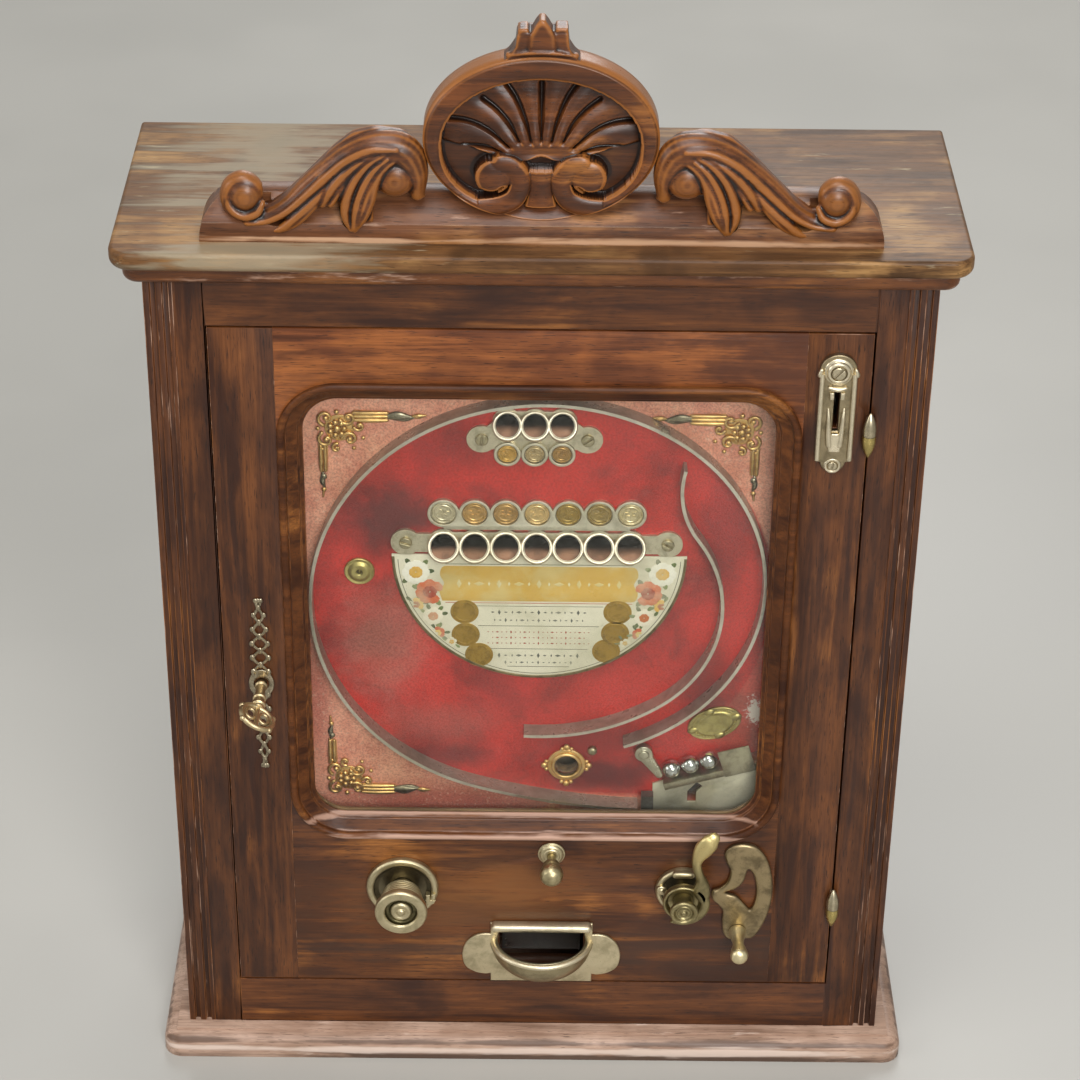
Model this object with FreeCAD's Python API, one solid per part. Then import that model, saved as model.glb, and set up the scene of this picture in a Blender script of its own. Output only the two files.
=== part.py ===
import FreeCAD, Part
import math
import os

V = FreeCAD.Vector

os.makedirs("parts", exist_ok=True)

# Coin-operated pin game in a walnut case, millimetres.
# Pieces are drawn from the case's front face: X to the right, Y back from the face, Z up from the base.
# The hand-out frame has its origin at the middle of the underside of the base.

# Case
case_w = 480.0
case_h = 583.2
case_d = 171.5
board_t = 14.0
frame_t = 18.0
post_w = 18.0
stile_w = 18.0
rail_top_h = 33.0
rail_low_h = 38.0
reed_w = 4.0
reed_groove_w = 3.6
reed_groove_d = 2.6
back_t = 8.0
back_inset = 4.0
wall_hole_r = 3.5
wall_hole_edge = 60.0

# Base and lid
base_t = 18.3
base_over = 17.6
base_ledge = 8.5
base_step = 1.4
base_nose_r = 8.4
base_corner_r = 13.0
lid_t = 12.6
lid_over = 18.0
lid_corner_r = 14.0
lid_nose_r = 2.6
lid_under_r = 5.6
cornice_t = 11.0
cornice_over = 11.0
cornice_round = 5.0

# Crest on the lid
crest_half_w = 204.0
crest_d = 26.0
crest_step_h = 12.4
crest_top_h = 28.0
crest_bevel_y = 14.0
crest_end_r = 25.0
shell_y = 0.0
shell_d = 22.0
shell_x = -1.0
shell_rise = 15.2
shell_half_w = 69.5
shell_half_h = 52.0
shell_rim_w = 10.8
shell_dish = 12.0
shell_flutes = 9
shell_flute_r = 2.6
volute_r = 12.0
volute_gap = 27.0
volute_rise = 26.0
finial_half_w = 15.5
finial_base_h = 17.0
finial_tip_h = 9.5
leaf_w = 117.5
leaf_y = -4.0
leaf_d = 18.0
leaf_eye_r = 12.5
leaf_eye_x = 18.5
leaf_eye_z = 43.0
leaf_knob_r = 9.5
leaf_knob_x = 102.5
leaf_knob_z = 34.0
leaf_boss = 4.0

# Door
door_gap = 1.2
door_t = 18.0
door_stile_w = 40.0
moulding_w = 15.5
moulding_r = 38.0
moulding_bead_w = 5.0
moulding_proud = 3.6
door_top_h = 37.5
window_low = 162.3
glass_y = 9.5
glass_t = 3.0
glass_lap = 6.0
glazing_t = 5.0
fit_gap = 0.3
run_fit = 0.05

# Hinges
barrel_r = 4.2
barrel_len = 31.0
barrel_clear = 0.4
leaf_t = 1.4
leaf_reach = 13.0
hinge_pin_r = 2.0
hinge_pin_len = 11.0
hinge_up = 69.8
hinge_down = 68.0
hinge_face_gap = 0.3

# Lock
lock_in = 23.8
lock_z = 288.0
lock_w = 32.0
lock_h = 46.0
lock_d = 11.0
lock_wall = 1.6
lock_left = 19.0
bolt_h = 9.0
bolt_d = 7.0
bolt_throw = 9.0
bolt_recess = 1.5
key_r = 3.0
key_bit_r = 9.5
key_bit_t = 2.4
key_out = 52.0
key_bow_w = 26.0
key_wire_r = 2.6
keeper_w = 16.0
keeper_wall = 2.0
escutcheon_t = 2.0
escutcheon_up = 66.0
escutcheon_down = 68.0
escutcheon_w = 17.0

# Playfield
field_y = 32.0
facing_t = 0.6
field_t = 9.4
field_low = 148.0
field_side_gap = 2.0
field_top_gap = 4.0
batten_w = 22.0
batten_d = 18.0
track_depth = 12.5
track_t = 2.2
outer_x = 69.5
outer_z = 172.6
outer_low_r = 442.0
outer_left_r = 150.7
outer_right_r = 131.8
outer_end_r = 133.1
loop_x = -8.0
loop_z = 233.0
loop_low_r = 138.7
loop_right_r = 92.7
loop_top_r = 63.1
ball_r = 6.35
ball_gap = 0.3

# Cups and award strips
cup_bore_r = 8.2
cup_wall = 2.0
cup_tilt = 35.0
cup_y = 25.0
cup_plate_t = 2.0
seven_x = -0.8
seven_z = 378.0
seven_pitch = 20.0
ear_r = 9.6
seven_ear_x = 84.5
three_x = -2.8
three_z = 468.3
three_pitch = 17.3
three_bore_r = 7.4
three_ear_x = 33.5
three_ear_drop = 13.0
three_token_drop = 23.6
token_strip_rise = 22.4
token_r = 8.3
small_token_r = 6.6
token_t = 1.2
token_rim = 2.0
token_seat = 1.0
strip_t = 3.0

# Plaque and gilt fittings
plaque_half_w = 95.5
plaque_x = 1.0
plaque_top = 368.5
plaque_low = 273.0
plaque_t = 1.2
plaque_rim = 1.8
plaque_rim_t = 0.8
ring_x = 21.0
ring_z = 201.8
ring_bore_r = 8.0
ring_r = 15.5
ring_t = 4.0
rosette_x = -115.6
rosette_z = 355.0
rosette_r = 10.0
rosette_t = 3.0
oval_x = 119.5
oval_z = 237.0
oval_half_w = 19.0
oval_half_h = 12.5
oval_tilt = 22.0
oval_t = 2.2
pin_x = 38.2
pin_z = 213.9
pin_r = 3.2
corner_side = 33.8
corner_drop = 48.5
corner_rise = 25.7
corner_arm = 50.0
corner_boss_r = 10.0
corner_leaf_r = 6.0
corner_t = 2.4

# Launcher and ball feed
launch_left = 79.6
launch_right = 166.0
launch_low = 153.0
launch_high = 190.7
launch_slope = 10.0
launch_t = 1.6
launch_slot_x = 106.4
launch_slot_z = 181.0
launch_slot_w = 6.0
rail_slope = 17.0
first_ball_x = 91.8
first_ball_z = 203.0
ball_count = 3
rail_t = 5.0
rail_back = 8.0
rail_len = 72.0
gate_left = 19.3
gate_up = 14.0
gate_r = 6.0
gate_t = 5.0
gate_pin_r = 2.5

# Lever, finger plate and stop
lever_x = 101.0
lever_z = 121.5
shaft_r = 4.0
lever_y = -19.0
lever_t = 6.5
lever_cup_r = 18.0
lever_cup_depth = 5.0
hub_r = 9.5
hub_y = -29.0
thumb_dx = 17.0
thumb_dz = 55.0
thumb_r = 6.6
flange_r = 18.5
flange_proud = 5.0
flange_rim = 3.4
hammer_y = 21.0
hammer_t = 7.0
hammer_dx = -25.0
hammer_dz = 55.0
hammer_head = 8.0
spring_wire_r = 0.9
spring_leg = 26.0
plate_proud = 4.6
plate_h = 82.1
peg_x = 139.5
peg_z = 88.0
peg_r = 6.0
peg_len = 31.0
peg_neck_r = 3.8

# Payout knob, tray and coin works
knob_x = -89.4
knob_z = 121.5
knob_r = 17.7
knob_y = -31.0
knob_rim_t = 6.0
cup_flange_r = 24.5
crank_r = 18.385
crank_pin_r = 2.5
crank_y = 20.5
crank_t = 4.0
coin_r = 12.5
coin_t = 2.4
coin_gap = 0.5
slide_travel = 26.0
slide_margin = 5.0
fork_half = 10.0
fork_t = 5.5
fork_h = 18.0
fork_base = 4.5
fork_play = 0.7
crank_pin_len = 6.0
crank_drop = 11.0
crank_arm_t = 3.5
tube_x = 8.0
trough_t = 4.0
trough_room = 3.0
trough_slope = 4.0
trough_x0 = -90.0
trough_x1 = 150.0
tube_wall = 1.5
tube_drop = 67.0
bed_t = 3.0
bed_gap = 0.3
tray_x = 5.5
tray_r = 35.0
tray_top = 81.0
tray_low = 40.0
tray_wall = 3.0
tray_lip_y = 9.0
tray_lip_z = 89.0
tray_wing_x = 54.5
tray_plate_t = 2.4
push_x = 11.5
push_z = 150.0
push_r = 3.0
push_ball_r = 7.0
push_out = 23.0
push_travel = 8.0
push_flange_r = 9.2

# Coin entry
coin_side = 20.8
coin_drop = 52.0
coin_plate_w = 23.0
coin_plate_h = 66.0
coin_head_drop = 5.0
coin_tongue_r = 8.0
coin_plate_t = 4.0
coin_boss_r = 9.0
coin_slot_w = 3.4
coin_slot_h = 27.0
chute_wall = 1.5
chute_end = 12.0
chute_flange = 5.0

# Cash box
cash_x0 = 62.0
cash_w = 130.0
cash_gap = 9.5
cash_h = 62.0
cash_wall = 6.0
cash_y = 62.0

# Worked out from the sizes above
half_w = case_w / 2
open_x = half_w - post_w - stile_w
open_low = rail_low_h
open_high = case_h - rail_top_h
door_x = open_x - door_gap
door_low = open_low + door_gap
door_high = open_high - door_gap
panel_x = door_x - door_stile_w
window_high = door_high - door_top_h
hinge_low_z = door_low + hinge_up
hinge_high_z = door_high - hinge_down
lock_x = -door_x + lock_in
coin_x = door_x - coin_side
coin_z = door_high - coin_drop
tube_top = coin_z - tube_drop
corner_x = panel_x - corner_side
corner_top_z = window_high - corner_drop
corner_low_z = window_low + corner_rise
gate_x = first_ball_x - gate_left
gate_z = first_ball_z + gate_up
sight_x = panel_x - moulding_w
hinge_x = (open_x + door_x) / 2
hinge_y = -barrel_r - barrel_clear
inner_x = half_w - board_t
back_y = case_d - back_inset - back_t
cash_d = back_y - cash_gap - cash_y
lid_z = case_h + cornice_t
lid_top = lid_z + lid_t
field_x = open_x - field_side_gap
field_top = open_high - field_top_gap
board_y = field_y + facing_t
track_y = field_y - track_depth
origin_y = (case_d - base_over) / 2
origin_z = base_t


def box(x0, x1, y0, y1, z0, z1):
    return Part.makeBox(x1 - x0, y1 - y0, z1 - z0, V(x0, y0, z0))


def rod_y(x, z, r, y0, y1):
    return Part.makeCylinder(r, y1 - y0, V(x, y0, z), V(0, 1, 0))


def rod_z(x, y, r, z0, z1):
    return Part.makeCylinder(r, z1 - z0, V(x, y, z0), V(0, 0, 1))


def fuse(first, *others):
    return first.fuse(list(others)).removeSplitter()


def face_xz(points, y=0.0):
    loop = [V(x, y, z) for x, z in points]
    return Part.Face(Part.makePolygon(loop + [loop[0]]))


def plate_xz(points, y0, y1):
    return face_xz(points, y0).extrude(V(0, y1 - y0, 0))


def bar_yz(points, x0, x1):
    loop = [V(x0, y, z) for y, z in points]
    return Part.Face(Part.makePolygon(loop + [loop[0]])).extrude(V(x1 - x0, 0, 0))


def curved_plate(points, y0, y1):
    """Plate with a smooth closed outline through the points."""
    curve = Part.BSplineCurve()
    curve.interpolate([V(x, y0, z) for x, z in points], PeriodicFlag=True)
    return Part.Face(Part.Wire(curve.toShape())).extrude(V(0, y1 - y0, 0))


def ellipse_plate(x, z, rx, rz, y0, y1, tilt=0.0):
    major, minor, turn = (rx, rz, 0.0) if rx >= rz else (rz, rx, 90.0)
    edge = Part.Ellipse(V(0, 0, 0), major, minor).toShape()
    shape = Part.Face(Part.Wire(edge)).extrude(V(0, 0, y0 - y1))
    shape.rotate(V(0, 0, 0), V(0, 0, 1), turn + tilt)
    shape.rotate(V(0, 0, 0), V(1, 0, 0), 90)
    shape.translate(V(x, y0, z))
    return shape


def turned_y(x, z, profile):
    """Turned piece about an axis along Y, from (radius, y) points."""
    first, last = profile[0][1], profile[-1][1]
    loop = [V(0, first, 0)] + [V(r, y, 0) for r, y in profile if r > 0] + [V(0, last, 0)]
    shape = Part.Face(Part.makePolygon(loop + [loop[0]])).revolve(V(0, 0, 0), V(0, 1, 0), 360)
    shape.translate(V(x, 0, z))
    return shape


def round_block_y(x0, x1, z0, z1, r, y0, y1):
    block = box(x0, x1, y0, y1, z0, z1)
    edges = [e for e in block.Edges if abs(e.Vertexes[0].Point.y - e.Vertexes[1].Point.y) > 1e-6]
    return block.makeFillet(r, edges)


def front_edges(shape, z):
    """Edges of a board at height z along its front, its sides and its rounded front corners."""
    found = []
    for edge in shape.Edges:
        points = [v.Point for v in edge.Vertexes]
        at_back = all(abs(p.y - case_d) < 1e-6 for p in points)
        if all(abs(p.z - z) < 1e-6 for p in points) and not at_back:
            found.append(edge)
    return found


def moulded_board(over, corner_r, z0, z1):
    """Board over the case's plan, with an overhang at the front and sides and round front corners."""
    block = box(-half_w - over, half_w + over, -over, case_d, z0, z1)
    edges = [e for e in block.Edges
             if abs(e.Vertexes[0].Point.z - e.Vertexes[1].Point.z) > 1e-6
             and abs(e.Vertexes[0].Point.y + over) < 1e-6]
    return block.makeFillet(corner_r, edges)


def frame_ring(profile_edges, x0, x1, z0, z1, r):
    """Frame of one section round a rounded rectangle; the section is given as (inset, y) edges."""
    def section(place):
        edges = []
        for kind, pts in profile_edges:
            v = [place(*p) for p in pts]
            edges.append(Part.LineSegment(*v).toShape() if kind == "line" else Part.Arc(*v).toShape())
        return Part.Face(Part.Wire(edges))
    up = V(0, 0, z1 - z0 - 2 * r)
    across = V(x1 - x0 - 2 * r, 0, 0)
    pieces = [
        section(lambda i, y: V(x0 + i, y, z0 + r)).extrude(up),
        section(lambda i, y: V(x1 - i, y, z0 + r)).extrude(up),
        section(lambda i, y: V(x0 + r, y, z0 + i)).extrude(across),
        section(lambda i, y: V(x0 + r, y, z1 - i)).extrude(across),
    ]
    middles = ((x0 + r, z1 - r), (x1 - r, z1 - r), (x1 - r, z0 + r), (x0 + r, z0 + r))
    for turn, (cx, cz) in enumerate(middles):
        corner = section(lambda i, y: V(cx - r + i, y, cz))
        corner = corner.revolve(V(cx, 0, cz), V(0, 1, 0), 90)
        corner.rotate(V(cx, 0, cz), V(0, 1, 0), 90 * turn)
        pieces.append(corner)
    return fuse(pieces[0], *pieces[1:])


def strip_path(start, heading, turns):
    """Points, headings and arcs of a bent strip's middle line; a minus sign turns to the right."""
    x, z = start
    h = math.radians(heading)
    arcs = []
    for radius, sweep in turns:
        side = 1 if sweep > 0 else -1
        cx = x - side * radius * math.sin(h)
        cz = z + side * radius * math.cos(h)
        arcs.append((cx, cz, radius, side, h, math.radians(sweep)))
        h += math.radians(sweep)
        x = cx + side * radius * math.sin(h)
        z = cz - side * radius * math.cos(h)
    return arcs


def bent_strip(start, heading, turns, thick, y0, y1):
    """Metal strip on edge, bent to tangent arcs."""
    pieces = []
    for cx, cz, radius, side, h, sweep in strip_path(start, heading, turns):
        def rim(offset, turn):
            r = radius + offset
            return V(cx + side * r * math.sin(h + turn), y0, cz - side * r * math.cos(h + turn))
        outer = Part.Arc(rim(thick / 2, 0), rim(thick / 2, sweep / 2), rim(thick / 2, sweep)).toShape()
        inner = Part.Arc(rim(-thick / 2, sweep), rim(-thick / 2, sweep / 2), rim(-thick / 2, 0)).toShape()
        end = Part.LineSegment(rim(thick / 2, sweep), rim(-thick / 2, sweep)).toShape()
        begin = Part.LineSegment(rim(-thick / 2, 0), rim(thick / 2, 0)).toShape()
        face = Part.Face(Part.Wire([outer, end, inner, begin]))
        pieces.append(face.extrude(V(0, y1 - y0, 0)))
    return fuse(pieces[0], *pieces[1:])


def drawn(outline, width):
    """Scale that brings a drawn outline to its real width."""
    xs = [x for x, z in outline]
    return width / (max(xs) - min(xs))


def group(*shapes):
    return Part.makeCompound(list(shapes))


def mirrored(shape, x=0.0):
    return shape.mirror(V(x, 0, 0), V(1, 0, 0))


def save(name, shape):
    placed = shape.copy()
    placed.translate(V(0, -origin_y, origin_z))
    placed.exportStep("parts/" + name + ".step")


# Shapes that more than one piece needs

def drop_ball(index):
    """Middle of a ball on the sloping rail, counted from the gate."""
    step = index * (2 * ball_r + ball_gap)
    a = math.radians(rail_slope)
    return first_ball_x + step * math.cos(a), first_ball_z + step * math.sin(a)


def leaning_rods(x_mid, z_mid, count, pitch, r, ahead):
    """Round rods that lean up towards the front, from a distance ahead of the cups' rims into the board."""
    a = math.radians(cup_tilt)
    axis = V(0, math.cos(a), -math.sin(a))
    length = ahead + (board_y - cup_y) / math.cos(a) + r
    return [Part.makeCylinder(r, length, V(x, cup_y, z_mid) - axis * ahead, axis)
            for x in row_x(x_mid, count, pitch)]


def row_x(x_mid, count, pitch):
    return [x_mid + (i - (count - 1) / 2) * pitch for i in range(count)]


def board_cup_holes(y0, y1):
    """Level holes through the board behind the cups."""
    seven = [rod_y(x, seven_z, cup_bore_r, y0, y1) for x in row_x(seven_x, 7, seven_pitch)]
    three = [rod_y(x, three_z, three_bore_r, y0, y1) for x in row_x(three_x, 3, three_pitch)]
    return seven + three


def screw_head(x, z, r, y):
    """Round-headed slotted screw with its shank into the wood."""
    head = turned_y(x, z, [(r * 0.55, y - r * 0.5), (r * 0.9, y - r * 0.3), (r, y), (r, y)])
    slot = box(x - r, x + r, y - r, y - r * 0.3, z - r * 0.14, z + r * 0.14)
    return head.cut(slot)


# Case

def make_base():
    top = box(-half_w - base_ledge, half_w + base_ledge, -base_ledge, case_d, -base_step, 0)
    nose = moulded_board(base_over, base_corner_r, -base_t, -base_step)
    nose = nose.makeFillet(base_nose_r, front_edges(nose, -base_step))
    return fuse(nose, top)


def make_sides():
    side = box(inner_x, half_w, frame_t, case_d, 0, case_h)
    side = side.cut(box(inner_x - 1, half_w - board_t / 2, back_y, back_y + back_t, 0, case_h))
    return group(mirrored(side), side)


def make_posts():
    post = box(half_w - post_w, half_w, 0, frame_t, 0, case_h)
    for i in range(2):
        x = half_w - reed_w - i * (reed_w + reed_groove_w)
        groove = box(x - reed_groove_w, x, -1, reed_groove_d, 0, case_h)
        post = post.cut(groove)
    return group(mirrored(post), post)


def make_back():
    edge = half_w - board_t / 2
    panel = box(-edge + fit_gap, edge - fit_gap, back_y, back_y + back_t, 0, case_h)
    for sx in (-1, 1):
        for z in (wall_hole_edge, case_h - wall_hole_edge):
            x = sx * (half_w - wall_hole_edge)
            panel = panel.cut(rod_y(x, z, wall_hole_r, back_y - 1, back_y + back_t + 1))
    return panel


def make_frame():
    stile = box(open_x, half_w - post_w, 0, frame_t, 0, case_h)
    right = stile
    for z in (hinge_low_z, hinge_high_z):
        right = right.cut(hinge_leaf(z, "case"))
    top = box(-open_x, open_x, 0, frame_t, open_high, case_h)
    low = box(-open_x, open_x, 0, frame_t, 0, open_low)
    return group(mirrored(stile), right, top, low)


def make_cornice():
    board = moulded_board(cornice_over, lid_corner_r - (lid_over - cornice_over) / 2, case_h, lid_z)
    return board.makeFillet(cornice_round, front_edges(board, case_h))


def make_lid():
    board = moulded_board(lid_over, lid_corner_r, lid_z, lid_top)
    board = board.makeFillet(lid_nose_r, front_edges(board, lid_top))
    return board.makeFillet(lid_under_r, front_edges(board, lid_z))


# Crest

def shell_blank():
    z = lid_top + shell_rise + shell_half_h
    return ellipse_plate(shell_x, z, shell_half_w, shell_half_h, shell_y, shell_y + shell_d)


def leaf_point(across, up, k=1.0):
    """Point on a scroll leaf, measured from the shell's right edge and the lid."""
    return shell_x + shell_half_w + across * k, lid_top + up * k


def leaf_blank():
    outline = [
        (-2.5, 47), (3.5, 67), (11.5, 74.5), (23.5, 77.5), (36.5, 75.5), (47.5, 69), (57.5, 59), (66.5, 46.5),
        (76.5, 33), (85.5, 25), (90.5, 23), (89.5, 32), (94.5, 42), (102.5, 46.5), (110.5, 42), (115, 32),
        (113.5, 22), (106.5, 16), (96.5, 13.5), (87.5, 10.5), (79.5, 14), (68.5, 27), (61.5, 24), (54.5, 33),
        (50.5, 20), (44.5, 9.5), (37.5, 19), (31.5, 31), (19.5, 31), (6.5, 36)]
    k = drawn(outline, leaf_w)
    return curved_plate([leaf_point(x, z, k) for x, z in outline], leaf_y, leaf_y + leaf_d)


def make_crest():
    h = crest_top_h
    section = [
        (0, 0), (0, crest_step_h), (1.5, crest_step_h + 1.2), (crest_bevel_y, h - 1.5),
        (crest_bevel_y + 3, h), (crest_d, h), (crest_d, 0)]
    bar = bar_yz([(y, lid_top + z) for y, z in section], -crest_half_w, crest_half_w)
    blank = box(-crest_half_w, crest_half_w, 0, crest_d, lid_top, lid_top + h)
    tops = [e for e in blank.Edges
            if abs(e.Vertexes[0].Point.y - e.Vertexes[1].Point.y) > 1e-6
            and e.Vertexes[0].Point.z > lid_top + h / 2]
    board = bar.common(blank.makeFillet(crest_end_r, tops))
    leaf = leaf_blank()
    return board.cut([shell_blank(), leaf, mirrored(leaf, shell_x)])


def make_shell():
    z_mid = lid_top + shell_rise + shell_half_h
    body = shell_blank()
    in_w = shell_half_w - shell_rim_w
    in_h = shell_half_h - shell_rim_w
    floor_y = shell_y + shell_dish
    dish = ellipse_plate(shell_x, z_mid - 2, in_w, in_h, shell_y - 1, floor_y)
    body = body.cut(dish)
    root_z = z_mid - in_h * 0.42
    flutes = []
    for i in range(shell_flutes):
        a = math.radians(-76 + 152 * i / (shell_flutes - 1))
        ridge = Part.makeCone(shell_flute_r, shell_flute_r * 3, in_w,
                              V(shell_x, floor_y + 1, root_z), V(math.sin(a), 0, math.cos(a)))
        flutes.append(ridge.common(dish))
    volute_z = lid_top + shell_rise + volute_rise
    curls = []
    for sx in (-1, 1):
        curls.append(rod_y(shell_x + sx * volute_gap, volute_z, volute_r, shell_y + 1, floor_y + 1))
    half_bar = volute_gap - volute_r + 2
    bar = box(shell_x - half_bar, shell_x + half_bar, shell_y + 3, floor_y + 1, volute_z - 9, volute_z + 5)
    top = lid_top + shell_rise + 2 * shell_half_h
    w = finial_half_w
    cap = plate_xz([
        (shell_x - w * 1.6, top - 8), (shell_x - w * 1.1, top + 3), (shell_x - w, top + finial_base_h - 3),
        (shell_x + w, top + finial_base_h - 3), (shell_x + w * 1.1, top + 3), (shell_x + w * 1.6, top - 8)],
        shell_y + 2, shell_y + shell_d)
    tip_z = top + finial_base_h + finial_tip_h
    gable = plate_xz([(shell_x - w * 0.5, top), (shell_x - w * 0.45, top + finial_base_h - 1),
                      (shell_x, tip_z - 3), (shell_x + w * 0.45, top + finial_base_h - 1),
                      (shell_x + w * 0.5, top)], shell_y + 1, shell_y + shell_d - 2)
    return fuse(body, bar, cap, gable, *(flutes + curls))


def make_leaves():
    leaf = leaf_blank()
    y0 = leaf_y - leaf_boss / 2
    eye = rod_y(*leaf_point(leaf_eye_x, leaf_eye_z), leaf_eye_r, y0, leaf_y + leaf_boss)
    knob = rod_y(*leaf_point(leaf_knob_x, leaf_knob_z), leaf_knob_r, y0, leaf_y + leaf_boss)
    leaf = fuse(leaf, eye, knob)
    return group(mirrored(leaf, shell_x), leaf)


# Hinges

def half_olive(z_mid, up):
    side = 1 if up else -1
    start = side * hinge_face_gap / 2
    end = side * barrel_len / 2
    arc = Part.Arc(V(barrel_r, 0, start), V(barrel_r * 0.8, 0, end * 0.62), V(0.6, 0, end)).toShape()
    edges = [
        Part.LineSegment(V(0, 0, start), V(barrel_r, 0, start)).toShape(), arc,
        Part.LineSegment(V(0.6, 0, end), V(0, 0, end)).toShape(),
        Part.LineSegment(V(0, 0, end), V(0, 0, start)).toShape()]
    shape = Part.Face(Part.Wire(edges)).revolve(V(0, 0, 0), V(0, 0, 1), 360)
    shape.translate(V(hinge_x, hinge_y, z_mid))
    return shape


def hinge_leaf(z_mid, side):
    """Flat leaf let into the door's edge, above, or the case stile's edge, below."""
    half = barrel_len / 2 - 3
    if side == "door":
        return box(door_x - leaf_t, door_x, hinge_y, leaf_reach, z_mid + hinge_face_gap / 2, z_mid + half)
    return box(open_x, open_x + leaf_t, hinge_y, leaf_reach, z_mid - half, z_mid - hinge_face_gap / 2)


def make_hinges(side):
    pieces = []
    for z in (hinge_low_z, hinge_high_z):
        half = fuse(half_olive(z, side == "door"), hinge_leaf(z, side))
        if side == "door":
            pin_end = z + hinge_pin_len + hinge_face_gap
            half = half.cut(rod_z(hinge_x, hinge_y, hinge_pin_r + run_fit, z, pin_end))
        else:
            half = fuse(half, rod_z(hinge_x, hinge_y, hinge_pin_r, z - barrel_r, z + hinge_pin_len))
        pieces.append(half)
    return group(*pieces)


# Door

def make_door_stiles():
    left = box(-door_x, -panel_x, 0, door_t, door_low, door_high)
    left = left.cut(rod_y(lock_x, lock_z, key_r + 2 * fit_gap, -1, door_t + 1))
    right = box(panel_x, door_x, 0, door_t, door_low, door_high)
    for z in (hinge_low_z, hinge_high_z):
        right = right.cut(hinge_leaf(z, "door"))
    return group(left, right.cut(coin_slot(-1, door_t + 1)))


def window_hole():
    return round_block_y(-panel_x, panel_x, window_low, window_high, moulding_r, -1, door_t + 1)


def make_door_top():
    rail = box(-panel_x, panel_x, 0, door_t, window_high - moulding_r, door_high)
    return rail.cut(window_hole())


def make_apron():
    rail = box(-panel_x, panel_x, 0, door_t, door_low, window_low + moulding_r)
    rail = rail.cut(window_hole())
    bores = [rod_y(knob_x, knob_z, shaft_r + run_fit, -1, door_t + 1),
             rod_y(lever_x, lever_z, shaft_r + run_fit, -1, door_t + 1),
             rod_y(push_x, push_z, push_r + run_fit, -1, door_t + 1)]
    return rail.cut(bores + [tray_mouth(-1, door_t + 1)])


def make_moulding():
    w = moulding_w
    b = moulding_bead_w
    section = [
        ("line", [(0, glass_y), (0, -1)]),
        ("arc", [(0, -1), (b / 2, -moulding_proud), (b, -1)]),
        ("line", [(b, -1), (b, 0.5)]),
        ("line", [(b, 0.5), (w - 3, 5)]),
        ("line", [(w - 3, 5), (w - 3, 6.5)]),
        ("line", [(w - 3, 6.5), (w, 8)]),
        ("line", [(w, 8), (w, glass_y)]),
        ("line", [(w, glass_y), (0, glass_y)])]
    return frame_ring(section, -panel_x, panel_x, window_low, window_high, moulding_r)


def make_glass():
    lap = moulding_w - glass_lap
    return round_block_y(-panel_x + lap, panel_x - lap, window_low + lap, window_high - lap,
                         moulding_r - lap, glass_y, glass_y + glass_t)


def make_glazing():
    lap = moulding_w - glass_lap
    y0 = glass_y + glass_t
    y1 = y0 + glazing_t
    w = lap + glass_lap - 1
    step = [
        ("line", [(0, glass_y), (lap - fit_gap, glass_y)]),
        ("line", [(lap - fit_gap, glass_y), (lap - fit_gap, y0)]),
        ("line", [(lap - fit_gap, y0), (w, y0)]),
        ("line", [(w, y0), (w - 2, y1)]),
        ("line", [(w - 2, y1), (0, y1)]),
        ("line", [(0, y1), (0, glass_y)])]
    return frame_ring(step, -panel_x, panel_x, window_low, window_high, moulding_r)


# Lock

bolt_z = lock_z + key_r + 2 * fit_gap
bolt_y = door_t + lock_wall


def make_lock_case():
    x0 = lock_x - lock_left
    z0 = lock_z - lock_h / 2
    case = box(x0, x0 + lock_w, door_t, door_t + lock_d, z0, z0 + lock_h)
    w = lock_wall
    case = case.cut(box(x0 + w, x0 + lock_w - w, door_t - 1, door_t + lock_d - w, z0 + w, z0 + lock_h - w))
    g = fit_gap
    return case.cut(box(x0 - 1, x0 + w + 1, bolt_y - g, bolt_y + bolt_d + g, bolt_z - g, bolt_z + bolt_h + g))


def make_bolt():
    tip = -door_x + bolt_recess
    bolt = box(tip, lock_x + lock_w - lock_left - lock_wall - bolt_recess, bolt_y, bolt_y + bolt_d,
               bolt_z, bolt_z + bolt_h)
    talon = lock_x + bolt_throw / 2
    half = key_bit_t / 2 + 3 * fit_gap + bolt_throw / 4
    return bolt.cut(box(talon - half, talon + half, bolt_y - 1, bolt_y + bolt_d + 1,
                        bolt_z - 1, lock_z + key_bit_r + 2 * fit_gap))


def make_key():
    bow_r = key_bow_w / 2 - key_wire_r
    bow_y = -key_out + key_bow_w / 2
    shank = rod_y(lock_x, lock_z, key_r, bow_y + bow_r, door_t + lock_d - lock_wall - fit_gap)
    collar = turned_y(lock_x, lock_z, [(4.6, bow_y + bow_r + 2), (4.6, bow_y + bow_r + 5), (4.2, -4)])
    bit = box(lock_x - key_bit_t / 2, lock_x + key_bit_t / 2, bolt_y + fit_gap, bolt_y + bolt_d - fit_gap,
              lock_z, lock_z + key_bit_r)
    bit.rotate(V(lock_x, 0, lock_z), V(0, 1, 0), 45)
    bow = Part.makeTorus(bow_r, key_wire_r, V(lock_x, bow_y, lock_z), V(0, 0, 1))
    bow.rotate(V(lock_x, 0, lock_z), V(0, 1, 0), 30)
    return fuse(shank, collar, bit, bow)


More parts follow.
